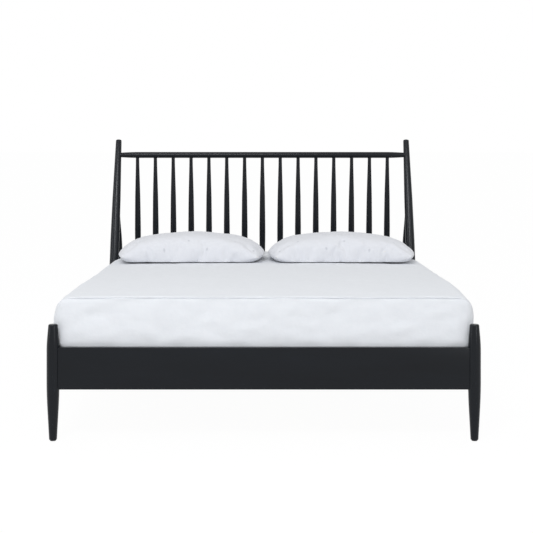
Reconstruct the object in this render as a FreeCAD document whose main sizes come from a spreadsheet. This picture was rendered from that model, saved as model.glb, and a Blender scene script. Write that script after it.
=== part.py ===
"""A turned wooden spindle bed with its mattress, fitted sheet and pillows.

The frame's lengths are measured from the axes of the foot legs: "reach" is the
distance from them towards the head, and "height" is the height above the floor.
The finished model has X across the bed, Y towards the head and its origin on the
floor in the middle of the bed.
"""
import FreeCAD, Part
import collections
import math
import operator
import os
import types

import Sketcher
from FreeCAD import Rotation, Vector

doc = FreeCAD.newDocument("SpindleBed")

sheetRows = [
    ("legSpacing", 1600.0, "between the leg axes across the bed"),
    ("fitGap", 0.2, "clearance of every housed, socketed or seated joint"),
    # turned legs
    ("legHeight", 442.0, "top of the foot legs"),
    ("legDiameter", 48.5, "full diameter of the foot and rear legs"),
    ("legTopDiameter", 35.0, "foot leg at its top"),
    ("toeDiameter", 29.5, "every leg at the floor"),
    ("kneeHeight", 177.5, "where the taper to the floor starts"),
    ("kneeEase", 36.0, "how far the shank eases into the taper, each way"),
    ("shoulderHeight", 365.0, "where the foot leg starts to narrow upwards"),
    ("shoulderEase", 18.0, "how far it eases, each way"),
    ("tipEdge", 2.5, "broken edge of the turned tops"),
    # leaning posts and the legs behind them
    ("postHeight", 1160.0, "top of a post's axis"),
    ("postFoot", 1713.0, "reach of a post at the floor"),
    ("postTop", 2087.3, "reach of a post at its top"),
    ("postTopDiameter", 31.5, "post at its top"),
    ("postDiameter", 49.0, "post at its thickest"),
    ("postShankDiameter", 46.0, "post above its taper to the floor"),
    ("postBellyAt", 767.0, "distance of the thickest place up the post"),
    ("rearFoot", 2159.0, "reach of a rear leg at the floor"),
    ("rearJoin", 860.0, "height where the axes of post and rear leg meet"),
    ("rearTopDiameter", 25.0, "rear leg where it meets the post"),
    ("rearNeckDiameter", 32.0, "rear leg at its neck"),
    ("rearNeckAt", 749.0, "distance of the neck up the rear leg"),
    ("rearShoulderAt", 617.0, "distance of the shoulder up the rear leg"),
    ("floorSpare", 20.0, "leaning leg's length past the floor, cut off level"),
    # rails
    ("railBottom", 195.0, "underside of foot rail, side rails and stretchers"),
    ("railHeight", 160.0, "height of those boards"),
    ("railThickness", 25.0, "thickness of those boards"),
    ("railRound", 3.0, "rounded long edges of the boards"),
    ("railSeat", 12.7, "distance of a housed rail end from the leg's axis"),
    ("headRailHeight", 110.0, "height of the rail under the spindles"),
    ("headRailThickness", 30.0, "thickness of that rail"),
    # hooks that hold the side rails
    ("hookThickness", 3.0, "hook plate let into each side rail's end"),
    ("hookPlateDepth", 34.0, "depth of that plate in the rail"),
    ("hookPlateHeight", 110.0, "height of that plate"),
    ("hookSpacing", 60.0, "between the two hooks of a plate"),
    ("hookArm", 11.0, "height of a hook's arm"),
    ("hookDrop", 9.0, "how far a hook reaches down behind its pin"),
    ("hookTip", 7.0, "thickness of a hook's tip"),
    ("hookLift", 3.0, "room over a hook's drop to lift the rail out"),
    ("hookPinDiameter", 6.0, "cross pin in a leg"),
    ("hookPinLength", 24.0, "length of that pin"),
    ("hookPinAt", 3.0, "pin from the leg's axis, towards the rail"),
    # crest rail and spindles
    ("crestHeight", 1077.0, "axis of the crest rail"),
    ("crestDiameter", 33.5, "crest rail at its middle"),
    ("crestEndDiameter", 25.0, "crest rail where it enters the posts"),
    ("crestTaper", 75.0, "length of the taper at each end"),
    ("crestEase", 26.0, "how far that taper eases, each way"),
    ("crestSeat", 5.0, "distance of the crest rail's end from the post's axis"),
    ("spindleCount", 15.0, "number of spindles"),
    ("spindleEndSpace", 107.0, "first and last spindle from a leg's axis"),
    ("spindleDiameter", 31.2, "spindle at its belly"),
    ("spindleTopDiameter", 17.2, "spindle at the crest rail"),
    ("spindleFootDiameter", 18.0, "spindle at the head rail"),
    ("spindleFootSeat", 30.0, "depth of a spindle in the head rail"),
    ("spindleTopSeat", 3.0, "distance of a spindle's top from the crest's axis"),
    ("spindleFootNeck", 60.0, "lower neck, up from the head rail's middle"),
    ("spindleBellyStart", 250.0, "lower end of the belly, from the same place"),
    ("spindleBellyEnd", 436.0, "upper end of the belly"),
    ("spindleTaperDiameter", 26.8, "spindle where its upper taper steepens"),
    ("spindleTaperAt", 559.0, "distance of that place"),
    ("spindleTopNeck", 748.0, "upper neck"),
    # mattress support
    ("slatCount", 14.0, "number of slats"),
    ("slatTop", 300.0, "height of the slats' upper face"),
    ("slatWidth", 70.0, "width of a slat"),
    ("slatThickness", 18.0, "thickness of a slat"),
    ("slatEndGap", 17.5, "between a slat's end and the side rail"),
    ("slatFirst", 75.0, "reach of the first slat's centre line"),
    ("slatLast", 2030.0, "reach of the last slat's centre line"),
    ("ledgerWidth", 32.0, "width of the strips under the slats' ends"),
    ("ledgerHeight", 30.0, "height of those strips"),
    ("ledgerEndGap", 8.0, "between a strip's end and a leg or rail"),
    ("beamWidth", 40.0, "width of the centre beam"),
    ("beamHeight", 60.0, "height of the centre beam"),
    ("hangerThickness", 2.0, "sheet steel of the beam's hangers"),
    ("hangerDepth", 40.0, "length of a hanger along the beam"),
    ("hangerFlange", 20.0, "width of a hanger's flanges against the rail"),
    ("hangerDrop", 5.0, "hanger's top below the beam's top"),
    ("strapWidth", 25.0, "width of the webbing over the slats"),
    ("strapThickness", 1.0, "thickness of that webbing"),
    ("strapOffset", 400.0, "webbing from the middle of the bed"),
    # centre leg
    ("centreLegReach", 1100.0, "reach of the centre leg"),
    ("centreLegBottom", 24.0, "underside of the centre leg's wood"),
    ("centreLegDiameter", 45.0, "centre leg at its top"),
    ("centreLegToe", 32.0, "diameter at its lower end"),
    ("centreLegKnee", 150.0, "height where its taper starts"),
    ("centreLegEase", 20.0, "how far it eases, each way"),
    ("insertDiameter", 14.0, "threaded insert in the centre leg"),
    ("insertLength", 20.0, "length of that insert"),
    ("stemDiameter", 10.0, "levelling foot's stem"),
    ("stemLength", 52.0, "length of that stem above its pad"),
    ("stemGap", 0.1, "radial clearance of the stem in its insert"),
    ("padDiameter", 38.0, "levelling foot's pad"),
    ("padHeight", 8.0, "height of that pad"),
    ("levelTravel", 12.0, "how far the levelling foot screws in"),
    ("levelSpare", 3.0, "bore left above its stem then"),
    ("glideDiameter", 22.0, "glide under a leg"),
    ("glideThickness", 4.0, "thickness of a glide"),
    ("dowelDiameter", 10.0, "dowel between rear leg and post"),
    ("dowelLength", 60.0, "length of that dowel"),
    ("dowelDepth", 22.0, "nearest end of the dowel to the post's axis, along the leg"),
    # mattress and sheet
    ("beddingWidth", 1624.0, "mattress in its sheet, above the rails"),
    ("beddingNarrow", 1570.0, "the same between the side rails"),
    ("beddingWaist", 1543.0, "the same between the posts"),
    ("beddingLength", 2032.0, "length of the mattress in its sheet"),
    ("beddingFront", 15.0, "reach of the mattress's foot end"),
    ("beddingTop", 553.0, "height of the crown's middle"),
    ("crownAcross", 0.013, "slope of the crown at the sides"),
    ("beddingWaistStart", 1540.0, "reach where the sides start to draw in"),
    ("beddingWaistEnd", 1750.0, "reach where they have drawn in"),
    ("beddingTopRound", 66.0, "rounded top edge"),
    ("beddingBottomRound", 22.0, "rounded bottom edge"),
    ("beddingCornerRound", 92.0, "rounded corners seen from above"),
    ("beddingSideRound", 400.0, "rounding where the sides draw in"),
    ("lapStart", 3.0, "how far below the rail's top the sides swell out over it"),
    ("lapEnd", 20.0, "how far above the rail's top they have swelled out"),
    ("lapRound", 12.0, "rounding at both ends of that swell"),
    ("crownAlong", 0.006, "slope of the crown at the ends"),
    ("crownRound", 38000.0, "radius of the crown"),
    ("sheetThickness", 1.2, "sheet"),
    ("sheetHem", 80.0, "width of the hem under the mattress"),
    ("softGap", 0.3, "between a soft piece and what it lies on or fills"),
    # pillows
    ("pillowLength", 752.0, "length of a pillow across the bed"),
    ("pillowDepth", 510.0, "pillow between its corners, along the bed"),
    ("pillowWaist", 20.0, "how far each long side draws in between corners"),
    ("pillowThickness", 131.0, "crown of a pillow above the bed"),
    ("pillowEdge", 12.0, "thickness of a pillow at its seam"),
    ("pillowLift", 26.0, "height of the seam above the bed"),
    ("pillowOverhang", 50.0, "how far the seam stands out past the underside"),
    ("pillowFront", 1290.0, "reach of the pillows' front seam"),
    ("leftPillowCentre", 363.0, "left pillow from the middle of the bed"),
    ("rightPillowCentre", 395.0, "right pillow from the middle of the bed"),
    ("pillowSeamRise", 0.12, "share of the crown's rise that lifts the seam"),
    ("pillowEndReach", 0.25, "share of the overhang that is left at the ends"),
    ("caseThickness", 1.0, "pillowcase"),
    ("caseSlack", 2.0, "room between pillow and case, except underneath"),
    ("caseHem", 24.0, "empty length of case past the pillow"),
]

sizes = doc.addObject("Spreadsheet::Sheet", "sizes")
for row, (alias, number, note) in enumerate(sheetRows, start=1):
    sizes.set(f"A{row}", note)
    sizes.set(f"B{row}", str(number))
    sizes.setAlias(f"B{row}", alias)
doc.recompute()


class Formula:
    """A length with the sheet formula that gives it, for setExpression."""

    def __init__(self, value, text):
        self.value = float(value)
        self.text = text

    def __add__(self, other):
        return combined(operator.add, self, "+", other)

    def __radd__(self, other):
        return combined(operator.add, other, "+", self)

    def __sub__(self, other):
        return combined(operator.sub, self, "-", other)

    def __rsub__(self, other):
        return combined(operator.sub, other, "-", self)

    def __mul__(self, other):
        return combined(operator.mul, self, "*", other)

    def __rmul__(self, other):
        return combined(operator.mul, other, "*", self)

    def __truediv__(self, other):
        return combined(operator.truediv, self, "/", other)

    def __rtruediv__(self, other):
        return combined(operator.truediv, other, "/", self)

    def __neg__(self):
        return combined(operator.mul, -1, "*", self)


def asFormula(number):
    return number if isinstance(number, Formula) else Formula(number, f"{number}")


def combined(action, first, sign, second):
    first = asFormula(first)
    second = asFormula(second)
    text = f"({first.text} {sign} {second.text})"
    return Formula(action(first.value, second.value), text)


def slantOf(lean):
    """Length along a leaning axis for each unit of height."""
    squared = lean * lean + 1
    return Formula(math.sqrt(squared.value), f"sqrt({squared.text})")


def angleOf(lean):
    return Formula(math.degrees(math.atan(lean.value)), f"atan({lean.text})")


bed = types.SimpleNamespace(
    **{alias: Formula(sizes.get(alias), f"sizes.{alias}") for alias, _, _ in sheetRows}
)
side = bed.legSpacing / 2
railTop = bed.railBottom + bed.railHeight

postLean = (bed.postTop - bed.postFoot) / bed.postHeight
postSlant = slantOf(postLean)


def postAt(height):
    return bed.postFoot + height * postLean


rearLean = (bed.rearFoot - postAt(bed.rearJoin)) / bed.rearJoin
rearSlant = slantOf(rearLean)


def rearAt(height):
    return bed.rearFoot - height * rearLean


rearReach = rearAt(bed.glideThickness) + bed.toeDiameter / 2 * rearSlant
middle = (rearReach - bed.legDiameter / 2) / 2

headRailHeight = railTop - bed.headRailHeight / 2
headRailReach = rearAt(headRailHeight)
spindleRise = bed.crestHeight - headRailHeight
spindleLean = (headRailReach - postAt(bed.crestHeight)) / spindleRise
spindleLength = spindleRise * slantOf(spindleLean)

ledgerTop = bed.slatTop - bed.slatThickness
beddingBottom = bed.slatTop + bed.strapThickness + bed.softGap


def place(thing, x, reach, height, axis=None, angle=None):
    """Sets a thing down at its sheet formulas, turned about an axis."""
    if axis is not None:
        angle = asFormula(angle)
        thing.Placement = FreeCAD.Placement(Vector(), Rotation(axis, angle.value))
        thing.setExpression("Placement.Rotation.Angle", angle.text)
    y = asFormula(reach) - middle
    for path, value in (("x", x), ("y", y), ("z", height)):
        thing.setExpression(f"Placement.Base.{path}", asFormula(value).text)
    return thing


def fixPoint(sketch, geometry, end, x, y):
    """Holds a sketch point at two sheet formulas measured from the origin."""
    for kind, value, axis in (("DistanceX", x, -2), ("DistanceY", y, -1)):
        if isinstance(value, Formula):
            constraint = Sketcher.Constraint(kind, -1, 1, geometry, end, value.value)
            index = sketch.addConstraint(constraint)
            sketch.setExpression(f"Constraints[{index}]", value.text)
        else:
            sketch.addConstraint(Sketcher.Constraint("PointOnObject", geometry, end, axis))


def roundedCorner(before, corner, after, radius):
    """Tangent points and centre of an arc that rounds a corner."""
    back = (before - corner).normalize()
    ahead = (after - corner).normalize()
    half = back.getAngle(ahead) / 2
    reach = radius / math.tan(half)
    centre = corner + (back + ahead).normalize() * (radius / math.sin(half))
    return corner + back * reach, corner + ahead * reach, centre


def addOutline(sketch, corners):
    """Draws a closed outline; a corner is (x, y) or (x, y, rounding radius).

    A coordinate is a sheet formula, or the number 0 on the sketch's own axis.
    """
    count = len(corners)
    points = [Vector(asFormula(c[0]).value, asFormula(c[1]).value) for c in corners]
    starts = list(points)
    ends = list(points)
    centres = {}
    for index, corner in enumerate(corners):
        if len(corner) > 2:
            after = points[(index + 1) % count]
            starts[index], ends[index], centres[index] = roundedCorner(
                points[index - 1], points[index], after, corner[2].value
            )
    for index in range(count):
        sketch.addGeometry(Part.LineSegment(ends[index], starts[(index + 1) % count]))
    for index, corner in enumerate(corners):
        lineBefore = (index - 1) % count
        if index not in centres:
            sketch.addConstraint(Sketcher.Constraint("Coincident", lineBefore, 2, index, 1))
            fixPoint(sketch, index, 1, corner[0], corner[1])
            continue
        first = starts[index] - centres[index]
        last = ends[index] - centres[index]
        turnsLeft = first.cross(last).z > 0
        if not turnsLeft:
            first, last = last, first
        angles = [math.atan2(spoke.y, spoke.x) for spoke in (first, last)]
        if angles[1] < angles[0]:
            angles[1] += 2 * math.pi
        circle = Part.Circle(centres[index], Vector(0, 0, 1), corner[2].value)
        arc = sketch.addGeometry(Part.ArcOfCircle(circle, *angles))
        nearEnd, farEnd = (1, 2) if turnsLeft else (2, 1)
        sketch.addConstraint(Sketcher.Constraint("Tangent", lineBefore, 2, arc, nearEnd))
        sketch.addConstraint(Sketcher.Constraint("Tangent", index, 1, arc, farEnd))
        radius = sketch.addConstraint(Sketcher.Constraint("Radius", arc, corner[2].value))
        sketch.setExpression(f"Constraints[{radius}]", corner[2].text)
        vertex = sketch.addGeometry(Part.Point(points[index]), True)
        sketch.addConstraint(Sketcher.Constraint("PointOnObject", vertex, 1, lineBefore))
        sketch.addConstraint(Sketcher.Constraint("PointOnObject", vertex, 1, index))
        fixPoint(sketch, vertex, 1, corner[0], corner[1])


# A turned corner cut by a chord that starts and ends a reach away from it.
Eased = collections.namedtuple("Eased", "radius distance reach")


def easedEnds(before, eased, after):
    """Ends of the chord between the two tapers that meet at an eased corner."""
    ends = []
    for way, neighbour in ((-1, before), (1, after)):
        taper = (neighbour[0] - eased.radius) / (neighbour[1] - eased.distance)
        step = eased.reach * way
        ends.append((eased.radius + taper * step, eased.distance + step))
    return ends


def newBody(name, plane, corners):
    """A body with an outline sketch on one of its own origin planes."""
    body = doc.addObject("PartDesign::Body", name)
    sketch = body.newObject("Sketcher::SketchObject", f"{name}Outline")
    support = [o for o in body.Origin.OriginFeatures if o.Role == plane][0]
    sketch.AttachmentSupport = (support, "")
    sketch.MapMode = "FlatFace"
    addOutline(sketch, corners)
    return body, sketch


def turned(name, corners):
    """A body turned on a lathe about its own Z axis from half its outline."""
    outline = []
    for index, corner in enumerate(corners):
        if isinstance(corner, Eased):
            outline += easedEnds(corners[index - 1], corner, corners[index + 1])
        else:
            outline.append(corner)
    body, sketch = newBody(name, "XZ_Plane", outline)
    revolution = body.newObject("PartDesign::Revolution", f"{name}Turning")
    revolution.Profile = sketch
    revolution.ReferenceAxis = (sketch, ["V_Axis"])
    revolution.Angle = 360
    return body


def padded(name, plane, corners, depth):
    """A body of constant section; the pad runs along the plane's normal."""
    body, sketch = newBody(name, plane, corners)
    pad = body.newObject("PartDesign::Pad", f"{name}Pad")
    pad.Profile = sketch
    pad.setExpression("Length", depth.text)
    return body


def board(name, plane, corners, thickness, rounding=None):
    """A board drawn in side view and padded by its thickness, long edges rounded."""
    body = padded(name, plane, corners, thickness)
    if rounding is not None:
        doc.recompute()
        pad = body.Tip
        run = Vector(0, 1, 0) if plane == "YZ_Plane" else Vector(1, 0, 0)
        longEdges = []
        for number, edge in enumerate(pad.Shape.Edges, start=1):
            direction = (edge.Vertexes[-1].Point - edge.Vertexes[0].Point).normalize()
            if abs(direction.dot(run)) > 0.999:
                longEdges.append(f"Edge{number}")
        fillet = body.newObject("PartDesign::Fillet", f"{name}Edges")
        fillet.Base = (pad, longEdges)
        fillet.setExpression("Radius", rounding.text)
    return body


def rectangle(start, end, bottom, top):
    return [(start, bottom), (end, bottom), (end, top), (start, top)]


def boardAlong(name, start, end, bottom, top, left, thickness, rounding=None):
    """A board that runs along the bed, its left face at X = left."""
    body = board(name, "YZ_Plane", rectangle(start, end, bottom, top), thickness, rounding)
    return place(body, left, 0, 0)


def boardAcross(name, left, length, bottom, top, rear, thickness, rounding=None):
    """A board that runs across the bed, its rear face at reach = rear."""
    corners = rectangle(0, length, 0, top - bottom)
    body = board(name, "XZ_Plane", corners, thickness, rounding)
    return place(body, left, rear, bottom)


def cut(name, base, *tools):
    result = base
    for number, tool in enumerate(tools, start=1):
        step = doc.addObject("Part::Cut", name if number == len(tools) else f"{name}{number}")
        step.Base = result
        step.Tool = tool
        result = step
    return result


def group(name, things):
    compound = doc.addObject("Part::Compound", name)
    compound.Links = things
    return compound


def mirrored(name, source):
    mirror = doc.addObject("Part::Mirroring", name)
    mirror.Source = source
    mirror.Normal = Vector(1, 0, 0)
    return mirror


nodes = {}


def keep(node, thing):
    """Names a finished piece; its label is the name of its file."""
    thing.Label = node
    nodes[node] = thing
    return thing


def keepPair(node, left):
    """Keeps a left piece and its mirrored twin."""
    keep(f"{node}_left", left)
    keep(f"{node}_right", mirrored(f"{left.Name}Right", left))


# Boards of the frame. Each has a seat: the same board larger by the fit's
# clearance, which cuts the housing in the legs that hold it.


def footRail(name, gap, rounding):
    end = side - bed.railSeat + gap
    return boardAcross(
        name, -end, end * 2, bed.railBottom - gap, railTop + gap,
        bed.railThickness / 2 + gap, bed.railThickness + gap * 2, rounding,
    )


def sideRail(name, gap, rounding):
    """Runs from the foot leg to the post; its rear end follows the post's lean."""
    start = bed.railSeat - gap
    bottom = bed.railBottom - gap
    top = railTop + gap
    back = bed.railSeat * postSlant - gap
    corners = [
        (start, bottom), (postAt(bottom) - back, bottom), (postAt(top) - back, top), (start, top),
    ]
    body = board(name, "YZ_Plane", corners, bed.railThickness + gap * 2, rounding)
    return place(body, -side - bed.railThickness / 2 - gap, 0, 0)


def endStretcher(name, gap, rounding):
    """Fills the triangle's base between post and rear leg, an end along each."""
    bottom = bed.railBottom - gap
    top = railTop + gap
    front = bed.railSeat * postSlant - gap
    back = bed.railSeat * rearSlant - gap
    corners = [
        (postAt(bottom) + front, bottom), (rearAt(bottom) - back, bottom),
        (rearAt(top) - back, top), (postAt(top) + front, top),
    ]
    body = board(name, "YZ_Plane", corners, bed.railThickness + gap * 2, rounding)
    return place(body, -side - bed.railThickness / 2 - gap, 0, 0)


def headRail(name, gap, rounding):
    end = side - bed.railSeat + gap
    return boardAcross(
        name, -end, end * 2, railTop - bed.headRailHeight - gap, railTop + gap,
        headRailReach + bed.headRailThickness / 2 + gap,
        bed.headRailThickness + gap * 2, rounding,
    )


footRailSeat = footRail("FootRailSeat", bed.fitGap, bed.railRound)
sideRailSeat = sideRail("SideRailSeat", bed.fitGap, bed.railRound)
stretcherSeat = endStretcher("StretcherSeat", bed.fitGap, bed.railRound)
headRailSeat = headRail("HeadRailSeat", bed.fitGap, bed.railRound)

keep("foot_rail", footRail("FootRail", 0, bed.railRound))
keepPair("end_stretcher", endStretcher("EndStretcher", 0, bed.railRound))

# Rail hooks: a steel plate in each end of a side rail has two hooks that drop
# over cross pins in the leg. Each is drawn from the leg's axis towards the rail,
# facing 1 at the foot legs and -1 at the posts, which it leans with.

hookMiddle = bed.railBottom + bed.railHeight / 2
hookHigh = bed.hookPlateHeight / 2
pinTop = bed.hookPinDiameter / 2 + bed.fitGap
tipInner = bed.hookPinAt - pinTop
tipOuter = tipInner - bed.hookTip
plateEnd = bed.railSeat + bed.hookPlateDepth


def atLeg(thing, facing, back, distance=0):
    """Places a thing by a left leg's axis, a distance up it from the hooks' middle."""
    if facing > 0:
        return place(thing, -side - back, 0, hookMiddle + distance)
    height = hookMiddle + distance / postSlant
    return place(
        thing, -side - back, postAt(height), height, Vector(-1, 0, 0), angleOf(postLean),
    )


def hookPlate(name, facing):
    corners = [
        (bed.railSeat, -hookHigh), (plateEnd, -hookHigh), (plateEnd, hookHigh),
        (bed.railSeat, hookHigh),
    ]
    for pin in (bed.hookSpacing / 2, -bed.hookSpacing / 2):
        under = pin + pinTop
        corners += [
            (bed.railSeat, under + bed.hookArm), (tipOuter, under + bed.hookArm),
            (tipOuter, under - bed.hookDrop), (tipInner, under - bed.hookDrop),
            (tipInner, under), (bed.railSeat, under),
        ]
    outline = [(y * facing, z) for y, z in corners]
    body = padded(name, "YZ_Plane", outline, bed.hookThickness)
    return atLeg(body, facing, bed.hookThickness / 2)


def hookSlot(name, facing, start, end, bottom, top):
    """Cuts the room of a hook plate, with the fit's clearance on both its faces."""
    outline = [(y * facing, z) for y, z in rectangle(start, end, bottom, top)]
    body = padded(name, "YZ_Plane", outline, bed.hookThickness + bed.fitGap * 2)
    return atLeg(body, facing, bed.hookThickness / 2 + bed.fitGap)


def legSlot(name, facing):
    lowest = -bed.hookSpacing / 2 + pinTop - bed.hookDrop - bed.fitGap
    highest = bed.hookSpacing / 2 + pinTop + bed.hookArm + bed.hookDrop + bed.hookLift
    return hookSlot(
        name, facing, tipOuter - bed.fitGap, bed.railSeat + bed.fitGap, lowest, highest,
    )


def railSlot(name, facing):
    return hookSlot(
        name, facing, bed.railSeat - bed.fitGap, plateEnd + bed.fitGap,
        -hookHigh - bed.fitGap, hookHigh + bed.fitGap,
    )


def hookPin(name, facing, distance, gap):
    """A cross pin, drawn along Z about its own axis and laid across the leg."""
    half = bed.hookPinLength / 2 + gap
    pin = doc.addObject("Part::Cylinder", name)
    pin.setExpression("Radius", (bed.hookPinDiameter / 2 + gap).text)
    pin.setExpression("Height", (half * 2).text)
    if facing > 0:
        reach = bed.hookPinAt
        height = hookMiddle + distance
    else:
        height = hookMiddle + (distance + bed.hookPinAt * postLean) / postSlant
        reach = postAt(height) - bed.hookPinAt * postSlant
    return place(pin, -side - half, reach, height, Vector(0, 1, 0), 90)


def hookPins(name, facing, gap):
    return [
        hookPin(f"{name}Upper", facing, bed.hookSpacing / 2, gap),
        hookPin(f"{name}Lower", facing, -bed.hookSpacing / 2, gap),
    ]


keepPair("side_rail", cut(
    "SideRail", sideRail("SideRailBoard", 0, bed.railRound), railSlot("FootEndSlot", 1),
    railSlot("PostEndSlot", -1),
))
leftHooks = [hookPlate("FootHook", 1), hookPlate("PostHook", -1)]
keep("rail_hooks", group("RailHooks", leftHooks + [
    mirrored(f"{hook.Name}Right", hook) for hook in leftHooks
]))
leftPins = hookPins("FootPin", 1, 0) + hookPins("PostPin", -1, 0)
keep("rail_hook_pins", group("RailHookPins", leftPins + [
    mirrored(f"{pin.Name}Right", pin) for pin in leftPins
]))
footHookRoom = [legSlot("FootLegSlot", 1), *hookPins("FootPinHole", 1, bed.fitGap)]
postHookRoom = [legSlot("PostSlot", -1), *hookPins("PostPinHole", -1, bed.fitGap)]

# Foot legs: straight turned legs, tapered to the floor and to the top.

footLegBody = turned("FootLegTurned", [
    (0, 0),
    (bed.toeDiameter / 2, 0),
    Eased(bed.legDiameter / 2, bed.kneeHeight - bed.glideThickness, bed.kneeEase),
    Eased(bed.legDiameter / 2, bed.shoulderHeight - bed.glideThickness, bed.shoulderEase),
    (bed.legTopDiameter / 2, bed.legHeight - bed.glideThickness - bed.tipEdge),
    (bed.legTopDiameter / 2 - bed.tipEdge, bed.legHeight - bed.glideThickness),
    (0, bed.legHeight - bed.glideThickness),
])
place(footLegBody, -side, 0, bed.glideThickness)
keepPair("foot_leg", cut(
    "FootLeg", footLegBody, footRailSeat, sideRailSeat, *footHookRoom,
))

# Posts and rear legs: each side is an A, a post that leans back and a leg that
# leans forward and is coped to the post's back. Both start below the floor and
# are cut flat above their glides.

floorCut = doc.addObject("Part::Box", "FloorCut")
floorCut.setExpression("Length", side.text)
floorCut.setExpression("Width", (rearReach * 2).text)
floorCut.setExpression("Height", (bed.glideThickness + bed.floorSpare * 2).text)
place(floorCut, -side - side / 2, 0, bed.floorSpare * -2)


def post(name, gap):
    start = bed.floorSpare
    postEnd = bed.postHeight * postSlant + start
    body = turned(name, [
        (0, 0),
        (bed.toeDiameter / 2 + gap, 0),
        Eased(bed.postShankDiameter / 2 + gap, bed.kneeHeight * postSlant + start, bed.kneeEase),
        (bed.postDiameter / 2 + gap, bed.postBellyAt + start),
        (bed.postTopDiameter / 2 + gap, postEnd - bed.tipEdge),
        (bed.postTopDiameter / 2 + gap - bed.tipEdge, postEnd),
        (0, postEnd),
    ])
    drop = start / postSlant
    return place(body, -side, postAt(-drop), -drop, Vector(-1, 0, 0), angleOf(postLean))


rearLegBody = turned("RearLegTurned", [
    (0, 0),
    (bed.toeDiameter / 2, 0),
    Eased(bed.legDiameter / 2, bed.kneeHeight * rearSlant + bed.floorSpare, bed.kneeEase),
    (bed.legDiameter / 2, bed.rearShoulderAt + bed.floorSpare),
    (bed.rearNeckDiameter / 2, bed.rearNeckAt + bed.floorSpare),
    (bed.rearTopDiameter / 2, bed.rearJoin * rearSlant + bed.floorSpare),
    (0, bed.rearJoin * rearSlant + bed.floorSpare),
])
rearDrop = bed.floorSpare / rearSlant
place(rearLegBody, -side, rearAt(-rearDrop), -rearDrop, Vector(1, 0, 0), angleOf(rearLean))


def dowel(name, gap):
    """A dowel on the rear leg's axis, from inside the leg into the post."""
    pin = doc.addObject("Part::Cylinder", name)
    pin.setExpression("Radius", (bed.dowelDiameter / 2 + gap).text)
    pin.setExpression("Height", (bed.dowelLength + gap * 2).text)
    below = (bed.dowelDepth + bed.dowelLength + gap) / rearSlant
    height = bed.rearJoin - below
    return place(pin, -side, rearAt(height), height, Vector(1, 0, 0), angleOf(rearLean))


crestEnd = side - bed.crestSeat


def crestRail(name, gap):
    """Turned between centres: drawn along Z and laid across the bed."""
    taper = bed.crestTaper
    body = turned(name, [
        (0, 0),
        (bed.crestEndDiameter / 2 + gap, 0),
        Eased(bed.crestDiameter / 2 + gap, taper, bed.crestEase),
        Eased(bed.crestDiameter / 2 + gap, (crestEnd + gap) * 2 - taper, bed.crestEase),
        (bed.crestEndDiameter / 2 + gap, (crestEnd + gap) * 2),
        (0, (crestEnd + gap) * 2),
    ])
    return place(
        body, -crestEnd - gap, postAt(bed.crestHeight), bed.crestHeight, Vector(0, 1, 0), 90,
    )


dowelHole = dowel("DowelHole", bed.fitGap)
crestSeat = crestRail("CrestSeat", bed.fitGap)
postSeat = post("PostSeat", bed.fitGap)

keepPair("post", cut(
    "Post", post("PostTurned", 0), floorCut, sideRailSeat, stretcherSeat, crestSeat, dowelHole,
    *postHookRoom,
))
keepPair("rear_leg", cut(
    "RearLeg", rearLegBody, floorCut, postSeat, stretcherSeat, headRailSeat, dowelHole,
))
leftDowel = dowel("Dowel", 0)
keep("leg_dowels", group("Dowels", [leftDowel, mirrored("DowelRight", leftDowel)]))

# Spindles: turned with a belly and two tapers, in round sockets in both rails.


def onSpindleAxis(thing, number, distance):
    """Puts a thing on a spindle's axis, up from the head rail's middle."""
    x = (number - (bed.spindleCount - 1) / 2) * spindlePitch
    rise = distance / slantOf(spindleLean)
    return place(
        thing, x, headRailReach - rise * spindleLean, headRailHeight + rise,
        Vector(1, 0, 0), angleOf(spindleLean),
    )


spindlePitch = (bed.legSpacing - bed.spindleEndSpace * 2) / (bed.spindleCount - 1)
spindleStart = bed.headRailHeight / 2 - bed.spindleFootSeat
spindleEnd = spindleLength - bed.spindleTopSeat


def spindle(name, number):
    body = turned(name, [
        (0, 0),
        (bed.spindleFootDiameter / 2, 0),
        (bed.spindleFootDiameter / 2, bed.spindleFootNeck - spindleStart),
        (bed.spindleDiameter / 2, bed.spindleBellyStart - spindleStart),
        (bed.spindleDiameter / 2, bed.spindleBellyEnd - spindleStart),
        (bed.spindleTaperDiameter / 2, bed.spindleTaperAt - spindleStart),
        (bed.spindleTopDiameter / 2, bed.spindleTopNeck - spindleStart),
        (bed.spindleTopDiameter / 2, spindleEnd - spindleStart),
        (0, spindleEnd - spindleStart),
    ])
    return onSpindleAxis(body, number, spindleStart)


def socket(name, number, diameter, start, end):
    hole = doc.addObject("Part::Cylinder", name)
    hole.setExpression("Radius", (diameter / 2 + bed.fitGap).text)
    hole.setExpression("Height", (end - start).text)
    return onSpindleAxis(hole, number, start)


spindleNumbers = range(int(bed.spindleCount.value))
for number in spindleNumbers:
    keep(f"spindle_{number + 1:02d}", spindle(f"Spindle{number + 1}", number))

footSockets = group("FootSockets", [
    socket(f"FootSocket{n}", n, bed.spindleFootDiameter, spindleStart - bed.fitGap,
           bed.headRailHeight)
    for n in spindleNumbers
])
topSockets = group("TopSockets", [
    socket(f"TopSocket{n}", n, bed.spindleTopDiameter, spindleEnd - bed.crestDiameter,
           spindleEnd + bed.fitGap)
    for n in spindleNumbers
])
keep("head_rail", cut("HeadRail", headRail("HeadRailBoard", 0, bed.railRound), footSockets))
keep("crest_rail", cut("CrestRail", crestRail("CrestTurned", 0), topSockets))

# Mattress support: ledgers on the rails, slats, webbing, centre beam and leg.

innerFace = side - bed.railThickness / 2
footRailFace = bed.railThickness / 2
headRailFace = headRailReach - bed.headRailThickness / 2
ledgerBottom = ledgerTop - bed.ledgerHeight
ledgerBreak = bed.postDiameter / 2 * postSlant + bed.ledgerEndGap


def ledger(name, start, end):
    return boardAlong(
        name, start, end, ledgerBottom, ledgerTop, -innerFace, bed.ledgerWidth,
    )


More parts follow.
